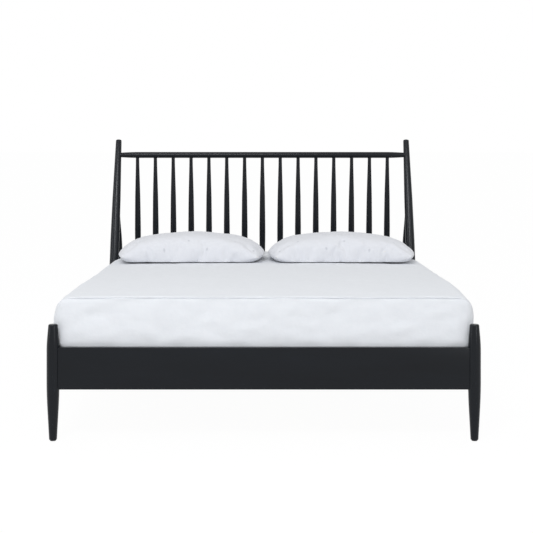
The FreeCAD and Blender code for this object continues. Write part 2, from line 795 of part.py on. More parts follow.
keepPair("side_ledger", ledger(
    "SideLedger", bed.legDiameter / 2 + bed.ledgerEndGap, postAt(ledgerBottom) - ledgerBreak,
))
keepPair("head_ledger", ledger(
    "HeadLedger", postAt(ledgerTop) + ledgerBreak, headRailFace - bed.ledgerEndGap,
))

keep("centre_beam", boardAlong(
    "CentreBeam", footRailFace + bed.softGap, headRailFace - bed.softGap,
    ledgerTop - bed.beamHeight, ledgerTop, -bed.beamWidth / 2, bed.beamWidth, bed.railRound,
))

hangerTop = ledgerTop - bed.hangerDrop
hangerInner = bed.beamWidth / 2 + bed.softGap
hangerOuter = hangerInner + bed.hangerThickness
hangerHeight = bed.beamHeight + bed.softGap + bed.hangerThickness - bed.hangerDrop


def hangerForm(name, half, depth, rear):
    """A U round the beam's end, its outside a half width wide and its rear at a reach."""
    corners = [
        (0, 0), (half * 2, 0), (half * 2, hangerHeight), (half + hangerInner, hangerHeight),
        (half + hangerInner, bed.hangerThickness), (half - hangerInner, bed.hangerThickness),
        (half - hangerInner, hangerHeight), (0, hangerHeight),
    ]
    body = padded(name, "XZ_Plane", corners, depth)
    return place(body, -half, rear, hangerTop - hangerHeight)


def hanger(name, cradleRear, flangeRear):
    """A steel saddle that holds an end of the beam, with flanges against the rail."""
    fused = doc.addObject("Part::MultiFuse", name)
    fused.Shapes = [
        hangerForm(f"{name}Cradle", hangerOuter, bed.hangerDepth, cradleRear),
        hangerForm(
            f"{name}Flanges", hangerOuter + bed.hangerFlange, bed.hangerThickness, flangeRear,
        ),
    ]
    fused.Refine = True
    return fused


keep("beam_hangers", group("BeamHangers", [
    hanger("FootHanger", footRailFace + bed.hangerDepth, footRailFace + bed.hangerThickness),
    hanger("HeadHanger", headRailFace, headRailFace),
]))

slatHalf = innerFace - bed.slatEndGap
slatStep = (bed.slatLast - bed.slatFirst) / (bed.slatCount - 1)
keep("slats", group("Slats", [
    boardAcross(
        f"Slat{number + 1}", -slatHalf, slatHalf * 2, ledgerTop, bed.slatTop,
        bed.slatFirst + slatStep * number + bed.slatWidth / 2, bed.slatWidth,
    )
    for number in range(int(bed.slatCount.value))
]))

leftStrap = boardAlong(
    "Strap", bed.slatFirst - bed.slatWidth / 2, bed.slatLast + bed.slatWidth / 2,
    bed.slatTop, bed.slatTop + bed.strapThickness, -bed.strapOffset - bed.strapWidth / 2,
    bed.strapWidth,
)
keep("slat_straps", group("Straps", [leftStrap, mirrored("StrapRight", leftStrap)]))

centreLegTop = ledgerTop - bed.beamHeight
insertTop = bed.centreLegBottom + bed.insertLength
centreLegBody = turned("CentreLegTurned", [
    (0, 0),
    (bed.centreLegToe / 2, 0),
    Eased(bed.centreLegDiameter / 2, bed.centreLegKnee - bed.centreLegBottom, bed.centreLegEase),
    (bed.centreLegDiameter / 2, centreLegTop - bed.centreLegBottom),
    (0, centreLegTop - bed.centreLegBottom),
])
place(centreLegBody, 0, bed.centreLegReach, bed.centreLegBottom)
stemTop = bed.padHeight + bed.stemLength
boreTop = stemTop + bed.levelTravel + bed.levelSpare - bed.centreLegBottom
legBore = turned("CentreLegBore", [
    (0, 0),
    (bed.insertDiameter / 2 + bed.fitGap, 0),
    (bed.insertDiameter / 2 + bed.fitGap, bed.insertLength + bed.fitGap),
    (bed.stemDiameter / 2 + bed.fitGap * 2, bed.insertLength + bed.fitGap),
    (bed.stemDiameter / 2 + bed.fitGap * 2, boreTop),
    (0, boreTop),
])
place(legBore, 0, bed.centreLegReach, bed.centreLegBottom)
keep("centre_leg", cut("CentreLeg", centreLegBody, legBore))

insertBore = bed.stemDiameter / 2 + bed.stemGap
insert = turned("LevellerInsert", [
    (insertBore, 0),
    (bed.insertDiameter / 2, 0),
    (bed.insertDiameter / 2, bed.insertLength),
    (insertBore, bed.insertLength),
])
keep("leveller_insert", place(insert, 0, bed.centreLegReach, bed.centreLegBottom))

levellerFoot = turned("LevellerFoot", [
    (0, 0),
    (bed.padDiameter / 2, 0),
    (bed.padDiameter / 2, bed.padHeight - bed.tipEdge),
    (bed.padDiameter / 2 - bed.tipEdge, bed.padHeight),
    (bed.stemDiameter / 2, bed.padHeight),
    (bed.stemDiameter / 2, stemTop),
    (0, stemTop),
])
keep("leveller_foot", place(levellerFoot, 0, bed.centreLegReach, 0))


def glide(name, x, reach):
    body = turned(name, [
        (0, 0),
        (bed.glideDiameter / 2, 0),
        (bed.glideDiameter / 2, bed.glideThickness),
        (0, bed.glideThickness),
    ])
    return place(body, x, reach, 0)


glides = []
for spot, reach in (
    ("Foot", asFormula(0)),
    ("Post", postAt(bed.glideThickness)),
    ("Rear", rearAt(bed.glideThickness)),
):
    glides.append(glide(f"{spot}GlideLeft", -side, reach))
    glides.append(glide(f"{spot}GlideRight", side, reach))
keep("glides", group("Glides", glides))

# Mattress and sheet: one form, the common part of its plan, its section across
# the bed and its side view, drawn in from the sheet's outer face by an inset.


def crownHeights(slope, half):
    """Heights of the two slopes' lower ends and of the peak that the crown rounds."""
    peak = bed.beddingTop + bed.crownRound * slope * slope / 2
    return peak - slope * half, peak


def beddingForm(name, inset):
    half = bed.beddingWidth / 2
    left = inset
    right = bed.beddingWidth - inset
    front = bed.beddingFront + inset
    rear = bed.beddingFront + bed.beddingLength - inset
    waist = half - bed.beddingWaist / 2 + inset
    narrow = half - bed.beddingNarrow / 2 + inset
    bottom = beddingBottom + inset
    across = crownHeights(bed.crownAcross, half)
    along = crownHeights(bed.crownAlong, bed.beddingLength / 2)
    lap = railTop - bed.lapStart
    lapTop = railTop + bed.lapEnd
    corner = bed.beddingCornerRound
    plan = padded(f"{name}Plan", "XY_Plane", [
        (left, front, corner),
        (right, front, corner),
        (right, bed.beddingWaistStart, bed.beddingSideRound),
        (bed.beddingWidth - waist, bed.beddingWaistEnd, bed.beddingSideRound),
        (bed.beddingWidth - waist, rear, corner),
        (waist, rear, corner),
        (waist, bed.beddingWaistEnd, bed.beddingSideRound),
        (left, bed.beddingWaistStart, bed.beddingSideRound),
    ], bed.beddingTop)
    place(plan, -half, 0, 0)
    section = padded(f"{name}Section", "XZ_Plane", [
        (narrow, bottom, bed.beddingBottomRound),
        (bed.beddingWidth - narrow, bottom, bed.beddingBottomRound),
        (bed.beddingWidth - narrow, lap, bed.lapRound),
        (right, lapTop, bed.lapRound),
        (right, across[0] - inset, bed.beddingTopRound),
        (half, across[1] - inset, bed.crownRound),
        (left, across[0] - inset, bed.beddingTopRound),
        (left, lapTop, bed.lapRound),
        (narrow, lap, bed.lapRound),
    ], rear)
    place(section, -half, rear, 0)
    profile = padded(f"{name}Profile", "YZ_Plane", [
        (front, bottom, bed.beddingBottomRound),
        (rear, bottom, bed.beddingBottomRound),
        (rear, along[0] - inset, bed.beddingTopRound),
        ((front + rear) / 2, along[1] - inset, bed.crownRound),
        (front, along[0] - inset, bed.beddingTopRound),
    ], bed.beddingWidth)
    place(profile, -half, 0, 0)
    form = doc.addObject("Part::MultiCommon", name)
    form.Shapes = [plan, section, profile]
    return form


keep("mattress", beddingForm("Mattress", bed.sheetThickness + bed.softGap))
hemOpening = boardAlong(
    "HemOpening",
    bed.beddingFront + bed.sheetHem, bed.beddingFront + bed.beddingLength - bed.sheetHem,
    beddingBottom - bed.sheetHem, beddingBottom + bed.sheetThickness * 2,
    -bed.beddingWaist / 2 + bed.sheetHem, bed.beddingWaist - bed.sheetHem * 2,
)
keep("fitted_sheet", cut(
    "FittedSheet", beddingForm("SheetOuter", 0), beddingForm("SheetInner", bed.sheetThickness),
    hemOpening,
))


def crownAt(slope, offset):
    """Height of the crown at an offset from the bed's middle."""
    rounded = bed.crownRound.value * slope.value
    if abs(offset) < rounded:
        return bed.beddingTop.value - offset * offset / (2 * bed.crownRound.value)
    return crownHeights(slope, abs(offset))[0].value


# Pillows: lofts across the bed through lens-shaped sections with a flat
# underside, thin and wide at the ends, thick and drawn in at the middle.


def pillowSection(x, fullness, inset, slack):
    """A closed section at x; fullness is 0 at the pillow's ends and 1 at its middle."""
    depth = bed.pillowDepth.value / 2 - bed.pillowWaist.value * fullness - inset - slack
    edge = bed.pillowEdge.value
    thickness = edge + (bed.pillowThickness.value - edge) * fullness
    seam = bed.pillowLift.value + (thickness - edge) * bed.pillowSeamRise.value
    bottom = (bed.pillowLift.value - edge / 2) * (1 - fullness) + inset
    top = seam + edge / 2 + (bed.pillowThickness.value - seam - edge / 2) * fullness
    top -= inset + slack
    overhang = bed.pillowEndReach.value + (1 - bed.pillowEndReach.value) * fullness
    under = depth - bed.pillowOverhang.value * overhang
    reach = bed.pillowFront.value + bed.pillowDepth.value / 2
    y = reach - middle.value
    beddingMiddle = bed.beddingFront.value + bed.beddingLength.value / 2
    nearest = max(0, reach - under - beddingMiddle)
    base = min(crownAt(bed.crownAcross, x), crownAt(bed.crownAlong, nearest)) + bed.softGap.value
    front = Vector(x, y - depth, base + seam)
    rear = Vector(x, y + depth, base + seam)
    frontUnder = Vector(x, y - under, base + bottom)
    rearUnder = Vector(x, y + under, base + bottom)
    crown = Vector(x, y, base + top)
    return Part.Wire([
        Part.Arc(front, crown, rear).toShape(),
        Part.makeLine(rear, rearUnder),
        Part.makeLine(rearUnder, frontUnder),
        Part.makeLine(frontUnder, front),
    ])


pillowSpans = 6
pillowTurns = [math.pi * step / pillowSpans for step in range(1, pillowSpans)]


def pillowForm(name, centre, outward, inset, slack, start, end):
    """A loft along the pillow, short of its two ends by start and end.

    Outward is -1 or 1. An end that falls short has the fullness that a whole
    pillow has there, so that forms of several lengths nest.
    """
    half = bed.pillowLength.value / 2
    stations = [-half * math.cos(turn) for turn in pillowTurns]
    fullnesses = [math.sin(turn) for turn in pillowTurns]
    span = half + stations[0]
    ends = [fullnesses[0] * max(0, short) / span for short in (start, end)]
    form = doc.addObject("Part::Feature", name)
    form.Shape = Part.makeLoft([
        pillowSection(centre + along * outward, fullness, inset, slack)
        for along, fullness in zip(
            [start - half, *stations, half - end], [ends[0], *fullnesses, ends[1]],
        )
    ], True, True)
    return form


def pillowPair(which, centre, outward):
    """A pillow and its case, which is open and empty at its outer end."""
    name = which.capitalize()
    case = bed.caseThickness.value
    inset = case + bed.softGap.value
    slack = bed.caseSlack.value
    keep(f"pillow_{which}", pillowForm(
        f"{name}Pillow", centre, outward, inset, slack, inset + slack, bed.caseHem.value,
    ))
    outer = pillowForm(f"{name}CaseOuter", centre, outward, 0, 0, 0, 0)
    inner = pillowForm(f"{name}CaseInner", centre, outward, case, 0, case, -case)
    keep(f"pillowcase_{which}", cut(f"{name}Pillowcase", outer, inner))


pillowPair("left", -bed.leftPillowCentre.value, -1)
pillowPair("right", bed.rightPillowCentre.value, 1)

doc.recompute()
for thing in doc.Objects:
    if "Invalid" in thing.State or "Error" in thing.State:
        raise RuntimeError(f"{thing.Name} failed: {thing.State}")


def finished(node, shape):
    """The shape as it is kept: the spindles' tapers become light ruled spline faces."""
    return shape.toNurbs() if node.startswith("spindle") else shape


shapes = {node: finished(node, thing.Shape) for node, thing in nodes.items()}
for node, shape in shapes.items():
    if shape.isNull() or not shape.isValid():
        raise RuntimeError(f"{node} has no valid shape")

os.makedirs("parts", exist_ok=True)
for node, shape in shapes.items():
    shape.exportStep(f"parts/{node}.step")
print(f"{len(shapes)} nodes, {sum(len(shape.Solids) for shape in shapes.values())} solids")
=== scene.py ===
import math

import bmesh
import bpy
from mathutils import Matrix, Vector, noise


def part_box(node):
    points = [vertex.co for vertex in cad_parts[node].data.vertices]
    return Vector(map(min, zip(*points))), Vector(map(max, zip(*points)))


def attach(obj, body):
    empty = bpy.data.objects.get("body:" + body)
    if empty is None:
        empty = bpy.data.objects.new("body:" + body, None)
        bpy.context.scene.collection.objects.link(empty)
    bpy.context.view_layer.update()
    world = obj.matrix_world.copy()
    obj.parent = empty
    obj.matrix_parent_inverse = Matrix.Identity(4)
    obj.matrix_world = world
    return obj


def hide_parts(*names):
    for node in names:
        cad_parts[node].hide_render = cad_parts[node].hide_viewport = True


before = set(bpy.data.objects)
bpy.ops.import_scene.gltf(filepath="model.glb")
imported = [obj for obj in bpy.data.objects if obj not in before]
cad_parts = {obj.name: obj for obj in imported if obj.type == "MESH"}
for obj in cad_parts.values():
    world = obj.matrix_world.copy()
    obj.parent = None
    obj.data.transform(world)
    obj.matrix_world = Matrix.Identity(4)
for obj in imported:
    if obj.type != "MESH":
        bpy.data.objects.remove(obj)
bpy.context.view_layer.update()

mm = 0.001  # the bed's sizes below are in millimetres
hair = 0.01 * mm  # points closer together than this count as one

bed = {
    "legAcross": 800,  # leg axes from the bed's middle
    "footLegY": -1074.5,
    "postFootY": 638.5,
    "postLean": 0.32267,  # backwards for each unit of height
    "rearFootY": 1084.5,
    "rearLean": 0.19593,  # forwards for each unit of height
    "floorLevel": 4,  # top of the glides
    "startsBelow": 20,  # leaning legs start this far under the floor and are cut level
}
sides = {"left": -1, "right": 1}


# colours, nodes and materials

white = "#ffffff"
wavePeriod = math.tau / 20  # length after which a Wave texture of scale 1 repeats
mixShare, mixFirst, mixSecond, mixResult = 0, 6, 7, 2  # a Mix node's sockets for colours


def linearColour(hexText):
    shares = [int(hexText[start:start + 2], 16) / 255 for start in (1, 3, 5)]
    return [
        share / 12.92 if share <= 0.04045 else ((share + 0.055) / 1.055) ** 2.4
        for share in shares
    ] + [1]


def addNode(tree, kind, links, **settings):
    node = tree.nodes.new(kind)
    for name, value in settings.items():
        setattr(node, name, value)
    for name, value in links.items():
        if isinstance(value, bpy.types.NodeSocket):
            tree.links.new(value, node.inputs[name])
        else:
            node.inputs[name].default_value = value
    return node


def emptyMaterial(name):
    material = bpy.data.materials.new(name)
    material.use_nodes = True
    material.node_tree.nodes.clear()
    return material, material.node_tree


def newMaterial(name, **sockets):
    material, tree = emptyMaterial(name)
    shader = addNode(tree, "ShaderNodeBsdfPrincipled", {
        label.replace("_", " "): value for label, value in sockets.items()
    })
    addNode(tree, "ShaderNodeOutputMaterial", {"Surface": shader.outputs["BSDF"]})
    return material, tree, shader


def patternPlace(tree, axis, width, length):
    # the piece's own coordinates, one unit being length mm along the axis and width mm across it
    coords = addNode(tree, "ShaderNodeTexCoord", {})
    mapping = addNode(tree, "ShaderNodeMapping", {
        "Vector": coords.outputs["Object"],
        "Scale": [1 / ((length if letter == axis else width) * mm) for letter in "XYZ"],
    })
    return mapping.outputs["Vector"]


paint = {  # sizes in mm; the beech's fine grain is drawn coarser than real, so that it shows
    "deep": "#0d1014", "worn": "#14181e", "leastRough": 0.2, "mostRough": 0.28,
    "grainWidth": 2.4, "grainLength": 60, "grainDepth": 0.12,
    "peelSize": 5, "peelDepth": 0.2,
    "cloudWidth": 71.4, "cloudLength": 400,
    "reliefStrength": 0.03,
}


def satinBlackPaint(axis):
    # sprayed satin lacquer on beech: near black, a soft sheen, grain just felt through the film
    material, tree, shader = newMaterial(
        f"satinBlackPaint{axis}", Specular_IOR_Level=0.2, IOR=1.5,
    )
    grain = addNode(tree, "ShaderNodeTexNoise", {
        "Vector": patternPlace(tree, axis, paint["grainWidth"], paint["grainLength"]),
        "Scale": 1, "Detail": 3, "Roughness": 0.55,
    })
    peel = addNode(tree, "ShaderNodeTexNoise", {
        "Vector": patternPlace(tree, axis, paint["peelSize"], paint["peelSize"]),
        "Scale": 1, "Detail": 1,
    })
    cloudy = addNode(tree, "ShaderNodeTexNoise", {
        "Vector": patternPlace(tree, axis, paint["cloudWidth"], paint["cloudLength"]),
        "Scale": 1, "Detail": 4,
    })
    tone = addNode(tree, "ShaderNodeMix", {
        mixShare: cloudy.outputs["Fac"],
        mixFirst: linearColour(paint["deep"]), mixSecond: linearColour(paint["worn"]),
    }, data_type="RGBA")
    gloss = addNode(tree, "ShaderNodeMapRange", {
        "Value": cloudy.outputs["Fac"],
        "To Min": paint["leastRough"], "To Max": paint["mostRough"],
    })
    grainBump = addNode(tree, "ShaderNodeBump", {
        "Height": grain.outputs["Fac"],
        "Strength": paint["reliefStrength"], "Distance": paint["grainDepth"] * mm,
    })
    bump = addNode(tree, "ShaderNodeBump", {
        "Height": peel.outputs["Fac"], "Normal": grainBump.outputs["Normal"],
        "Strength": paint["reliefStrength"], "Distance": paint["peelDepth"] * mm,
    })
    tree.links.new(tone.outputs[mixResult], shader.inputs["Base Color"])
    tree.links.new(gloss.outputs["Result"], shader.inputs["Roughness"])
    tree.links.new(bump.outputs["Normal"], shader.inputs["Normal"])
    return material


pine = {  # sizes in mm; the rings are drawn about three times wider than real, so that they show
    "early": "#d9bd8c", "late": "#b98f57",
    "ringWidth": 17.67, "flameLength": 892.5,
    "fibreWidth": 0.9, "fibreLength": 83.3, "fibreDepth": 0.2, "fibreShow": 0.35,
}


def planedPine(axis):
    # planed, unfinished pine: pale, with darker late wood in long flames and a dry surface
    material, tree, shader = newMaterial(f"planedPine{axis}", Roughness=0.62)
    rings = addNode(tree, "ShaderNodeTexWave", {
        "Vector": patternPlace(tree, axis, pine["ringWidth"], pine["flameLength"]),
        "Scale": wavePeriod, "Distortion": 5.5, "Detail": 3, "Detail Scale": 1.4,
    }, wave_type="RINGS", rings_direction=axis)
    fibre = addNode(tree, "ShaderNodeTexNoise", {
        "Vector": patternPlace(tree, axis, pine["fibreWidth"], pine["fibreLength"]),
        "Scale": 1, "Detail": 2,
    })
    tone = addNode(tree, "ShaderNodeMix", {
        mixShare: rings.outputs["Fac"],
        mixFirst: linearColour(pine["early"]), mixSecond: linearColour(pine["late"]),
    }, data_type="RGBA")
    soft = addNode(tree, "ShaderNodeMix", {
        mixShare: pine["fibreShow"],
        mixFirst: tone.outputs[mixResult], mixSecond: fibre.outputs["Color"],
    }, data_type="RGBA", blend_type="SOFT_LIGHT")
    bump = addNode(tree, "ShaderNodeBump", {
        "Height": fibre.outputs["Fac"], "Strength": 0.2, "Distance": pine["fibreDepth"] * mm,
    })
    tree.links.new(soft.outputs[mixResult], shader.inputs["Base Color"])
    tree.links.new(bump.outputs["Normal"], shader.inputs["Normal"])
    return material


# sizes in mm, here and for the glides
zincPlate = {"colour": "#b9bcc0", "cloudSize": 4, "leastRough": 0.25, "mostRough": 0.42}


def zincPlatedSteel():
    # bright zinc on turned steel: cool grey, a little cloudy
    material, tree, shader = newMaterial(
        "zincPlatedSteel", Metallic=1.0, Base_Color=linearColour(zincPlate["colour"]),
    )
    cloudy = addNode(tree, "ShaderNodeTexNoise", {
        "Vector": patternPlace(tree, "Z", zincPlate["cloudSize"], zincPlate["cloudSize"]),
        "Scale": 1, "Detail": 4,
    })
    gloss = addNode(tree, "ShaderNodeMapRange", {
        "Value": cloudy.outputs["Fac"],
        "To Min": zincPlate["leastRough"], "To Max": zincPlate["mostRough"],
    })
    tree.links.new(gloss.outputs["Result"], shader.inputs["Roughness"])
    return material


glide = {"colour": "#202022", "pitSize": 0.8, "pitDepth": 0.1}


def mouldedPolythene():
    # hard moulded glide: black, waxy, finely pitted
    material, tree, shader = newMaterial(
        "mouldedPolythene", Base_Color=linearColour(glide["colour"]), Roughness=0.55,
    )
    pits = addNode(tree, "ShaderNodeTexNoise", {
        "Vector": patternPlace(tree, "Z", glide["pitSize"], glide["pitSize"]),
        "Scale": 1, "Detail": 1,
    })
    bump = addNode(tree, "ShaderNodeBump", {
        "Height": pits.outputs["Fac"], "Strength": 0.25, "Distance": glide["pitDepth"] * mm,
    })
    tree.links.new(bump.outputs["Normal"], shader.inputs["Normal"])
    return material


# sizes of the cloths' threads and rumples, in mm; real threads are about a tenth as wide, and are
# drawn coarser so that they can show
percale = {"light": "#e9ebee", "shade": "#e1e4e8", "thread": 3.158, "rumple": 26}
tuftedCloth = {"light": "#e8e9ed", "shade": "#dfe1e6", "thread": 3.158, "rumple": 14}
tickingCloth = {"light": "#efeeea", "shade": "#e6e4df", "thread": 4.342, "rumple": 30}
strapCloth = {"light": "#ddd8ca", "shade": "#cfc8b6", "thread": 3.553, "rumple": 8}
clothRelief = {"weaveDepth": 0.3, "weaveStrength": 0.25, "rumpleDepth": 3, "rumpleStrength": 0.35}

tufts = {
    "colour": "#a3a6ae", "spacing": 128, "radius": 8.5,  # mm
    "scatter": 0.6, "strength": 0.34,
    "core": 0.4,  # share of the radius that is fully shaded
}


def withTufts(tree, tone, place):
    # small shaded dimples, scattered over the cloth
    cells = addNode(tree, "ShaderNodeTexVoronoi", {
        "Vector": place, "Scale": 1 / (tufts["spacing"] * mm), "Randomness": tufts["scatter"],
    }, voronoi_dimensions="2D")
    spot = addNode(tree, "ShaderNodeMapRange", {
        "Value": cells.outputs["Distance"],
        "From Min": tufts["radius"] / tufts["spacing"] * tufts["core"],
        "From Max": tufts["radius"] / tufts["spacing"],
        "To Min": tufts["strength"], "To Max": 0,
    })
    tufted = addNode(tree, "ShaderNodeMix", {
        mixShare: spot.outputs["Result"],
        mixFirst: tone, mixSecond: linearColour(tufts["colour"]),
    }, data_type="RGBA")
    return tufted.outputs[mixResult]


def wovenCotton(name, cloth, tufted=False, mapped=True):
    # plain weave cotton: matt and faintly fuzzy, with crossing threads over small soft rumples
    material, tree, shader = newMaterial(
        name, Roughness=0.88, Specular_IOR_Level=0.2, Sheen_Weight=0.12, Sheen_Roughness=0.5,
    )
    if mapped:
        place = addNode(tree, "ShaderNodeUVMap", {}, uv_map="cloth").outputs["UV"]
    else:
        place = patternPlace(tree, "Z", 1000, 1000)  # in metres, as the cloth map is
    threads = []
    for direction in ("X", "Y"):
        wave = addNode(tree, "ShaderNodeTexWave", {
            "Vector": place, "Scale": wavePeriod / (cloth["thread"] * mm),
            "Distortion": 0.6, "Detail": 1, "Detail Scale": 2,
        }, wave_type="BANDS", bands_direction=direction)
        threads.append(wave.outputs["Fac"])
    weave = addNode(tree, "ShaderNodeMath", {
        0: threads[0], 1: threads[1],
    }, operation="MULTIPLY")
    rumple = addNode(tree, "ShaderNodeTexNoise", {
        "Vector": place, "Scale": 1 / (cloth["rumple"] * mm), "Detail": 5, "Roughness": 0.62,
    })
    tone = addNode(tree, "ShaderNodeMix", {
        mixShare: rumple.outputs["Fac"],
        mixFirst: linearColour(cloth["shade"]), mixSecond: linearColour(cloth["light"]),
    }, data_type="RGBA").outputs[mixResult]
    if tufted:
        tone = withTufts(tree, tone, place)
    weaveBump = addNode(tree, "ShaderNodeBump", {
        "Height": weave.outputs["Value"],
        "Strength": clothRelief["weaveStrength"], "Distance": clothRelief["weaveDepth"] * mm,
    })
    bump = addNode(tree, "ShaderNodeBump", {
        "Height": rumple.outputs["Fac"], "Normal": weaveBump.outputs["Normal"],
        "Strength": clothRelief["rumpleStrength"], "Distance": clothRelief["rumpleDepth"] * mm,
    })
    tree.links.new(tone, shader.inputs["Base Color"])
    tree.links.new(bump.outputs["Normal"], shader.inputs["Normal"])
    return material


# paint and pine come once for each way that the grain runs
paintX = satinBlackPaint("X")
paintY = satinBlackPaint("Y")
paintZ = satinBlackPaint("Z")
pineX = planedPine("X")
pineY = planedPine("Y")
pineZ = planedPine("Z")
zinc = zincPlatedSteel()
polythene = mouldedPolythene()
sheetCotton = wovenCotton("percaleSheetCotton", percale)
caseCotton = wovenCotton("tuftedCaseCotton", tuftedCloth, tufted=True)
ticking = wovenCotton("quiltedTicking", tickingCloth)
webbing = wovenCotton("cottonWebbing", strapCloth, mapped=False)
print("materials made")


# making pieces

def meshFrom(bm, name):
    mesh = bpy.data.meshes.new(name)
    bm.to_mesh(mesh)
    bm.free()
    return mesh


def addToScene(name, data):
    thing = bpy.data.objects.new(name, data)
    bpy.context.scene.collection.objects.link(thing)
    return thing


def finishPiece(bm, name, material, body, node, smoothAngle=35):
    mesh = meshFrom(bm, name)
    mesh.materials.append(material)
    mesh.polygons.foreach_set("use_smooth", [True] * len(mesh.polygons))
    mesh.set_sharp_from_angle(angle=math.radians(smoothAngle))
    piece = addToScene(name, mesh)
    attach(piece, body)
    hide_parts(node)
    return piece


def easeEdges(bm, edges, ease, segments):
    bmesh.ops.bevel(
        bm, geom=edges, offset=ease * mm, offset_type="OFFSET", segments=segments,
        profile=0.5, affect="EDGES", material=-1,
    )


easeSegments = 5  # of a turned ring's easing


def ringAt(bm, radius, along):
    # the edges of the ring that a point of the outline has drawn
    return [
        edge for edge in bm.edges
        if all(abs(vert.co.z - along * mm) < hair for vert in edge.verts)
        and all(abs(vert.co.xy.length - radius * mm) < hair for vert in edge.verts)
    ]


def turnedShape(outline, steps):
    # spins an outline about Z; each of its points is (radius, distance along, easing), in mm
    bm = bmesh.new()
    points = [bm.verts.new((radius * mm, 0, along * mm)) for radius, along, ease in outline]
    line = [bm.edges.new(pair) for pair in zip(points, points[1:])]
    bmesh.ops.spin(
        bm, geom=points + line, cent=(0, 0, 0), axis=(0, 0, 1), dvec=(0, 0, 0),
        angle=math.tau, steps=steps, use_merge=True, use_duplicate=False,
    )
    bmesh.ops.remove_doubles(bm, verts=bm.verts, dist=hair)
    bmesh.ops.recalc_face_normals(bm, faces=bm.faces)
    for radius, along, ease in outline:
        if ease:
            easeEdges(bm, ringAt(bm, radius, along), ease, easeSegments)
    return bm


def cutLevel(bm, height):
    # takes away what is below this height, in mm, and closes the cut
    bmesh.ops.bisect_plane(
        bm, geom=bm.verts[:] + bm.edges[:] + bm.faces[:], plane_co=(0, 0, height * mm),
        plane_no=(0, 0, -1), clear_outer=True,
    )
    bmesh.ops.holes_fill(bm, edges=[edge for edge in bm.edges if edge.is_boundary])


def leaning(x, y, z, lean):
    # a lean above 0 goes towards +Y as the piece rises
    return Matrix.Translation(Vector((x, y, z)) * mm) @ Matrix.Rotation(-math.atan(lean), 4, "X")


def boxShape(low, high):
    bm = bmesh.new()
    bmesh.ops.create_cube(bm, size=1)
    bmesh.ops.scale(bm, vec=Vector(high) - Vector(low), verts=bm.verts)
    bmesh.ops.translate(bm, vec=(Vector(high) + Vector(low)) / 2, verts=bm.verts)
    return bm


# turned legs, posts, crest rail and spindles

leg = {
    "radius": 24.25, "topRadius": 17.5, "toeRadius": 14.75,
    "height": 442, "knee": 177.5, "shoulder": 365,
    "kneeEase": 45, "shoulderEase": 24, "tipRound": 5.5, "toeRound": 1.5, "steps": 64,
}


def makeFootLeg(side, x):
    floor = bed["floorLevel"]
    bm = turnedShape([
        (0, 0, 0), (leg["toeRadius"], 0, leg["toeRound"]),
        (leg["radius"], leg["knee"] - floor, leg["kneeEase"]),
        (leg["radius"], leg["shoulder"] - floor, leg["shoulderEase"]),
        (leg["topRadius"], leg["height"] - floor, leg["tipRound"]),
        (0, leg["height"] - floor, 0),
    ], leg["steps"])
    bm.transform(leaning(x, bed["footLegY"], floor, 0))
    finishPiece(bm, f"footLeg_{side}", paintZ, "frame", f"foot_leg_{side}")


def standLeaning(bm, x, footY, lean):
    # the outline starts under the floor, so that the foot can be cut level
    drop = bed["startsBelow"] / math.hypot(1, lean)
    bm.transform(leaning(x, footY - drop * lean, -drop, lean))
    cutLevel(bm, bed["floorLevel"])


post = {
    "height": 1160, "topRadius": 15.75, "radius": 24.5, "shankRadius": 23,
    "bellyAt": 767, "bellyEase": 110, "tipRound": 5,
}


def makePost(side, x):
    slant = math.hypot(1, bed["postLean"])
    below = bed["startsBelow"]
    bm = turnedShape([
        (0, 0, 0), (leg["toeRadius"], 0, 0),
        (post["shankRadius"], leg["knee"] * slant + below, leg["kneeEase"]),
        (post["radius"], post["bellyAt"] + below, post["bellyEase"]),
        (post["topRadius"], post["height"] * slant + below, post["tipRound"]),
        (0, post["height"] * slant + below, 0),
    ], leg["steps"])
    standLeaning(bm, x, bed["postFootY"], bed["postLean"])
    finishPiece(bm, f"post_{side}", paintZ, "frame", f"post_{side}")


rearLeg = {
    "join": 860, "radius": 24.25, "neckRadius": 16, "topRadius": 12.5,
    "neckAt": 749, "shoulderAt": 617, "ease": 40,
}


def makeRearLeg(side, x):
    slant = math.hypot(1, bed["rearLean"])
    below = bed["startsBelow"]
    bm = turnedShape([
        (0, 0, 0), (leg["toeRadius"], 0, 0),
        (rearLeg["radius"], leg["knee"] * slant + below, leg["kneeEase"]),
        (rearLeg["radius"], rearLeg["shoulderAt"] + below, rearLeg["ease"]),
        (rearLeg["neckRadius"], rearLeg["neckAt"] + below, rearLeg["ease"]),
        (rearLeg["topRadius"], rearLeg["join"] * slant + below, 0),
        (0, rearLeg["join"] * slant + below, 0),
    ], leg["steps"])
    standLeaning(bm, x, bed["rearFootY"], -bed["rearLean"])
    finishPiece(bm, f"rearLeg_{side}", paintZ, "frame", f"rear_leg_{side}")


crest = {
    "height": 1077, "radius": 16.75, "endRadius": 12.5, "taper": 75, "ease": 34,
    "halfLength": 795, "steps": 56,
}
crestY = bed["postFootY"] + crest["height"] * bed["postLean"]


def makeCrestRail():
    length = crest["halfLength"] * 2
    bm = turnedShape([
        (0, 0, 0), (crest["endRadius"], 0, 0),
        (crest["radius"], crest["taper"], crest["ease"]),
        (crest["radius"], length - crest["taper"], crest["ease"]),
        (crest["endRadius"], length, 0), (0, length, 0),
    ], crest["steps"])
    bm.transform(
        Matrix.Translation(Vector((-crest["halfLength"], crestY, crest["height"])) * mm)
        @ Matrix.Rotation(math.radians(90), 4, "Y")
    )
    finishPiece(bm, "crestRail", paintX, "frame", "crest_rail")


spindle = {
    "count": 15, "pitch": 99, "headRailMiddle": 300, "start": 25, "end": 775,
    "footRadius": 9, "radius": 16.7, "topRadius": 9.4,
    "footNeck": 60, "bellyStart": 255, "bellyEnd": 462, "topNeck": 738,
    "bellyEase": 85, "neckEase": 18, "steps": 40,
}


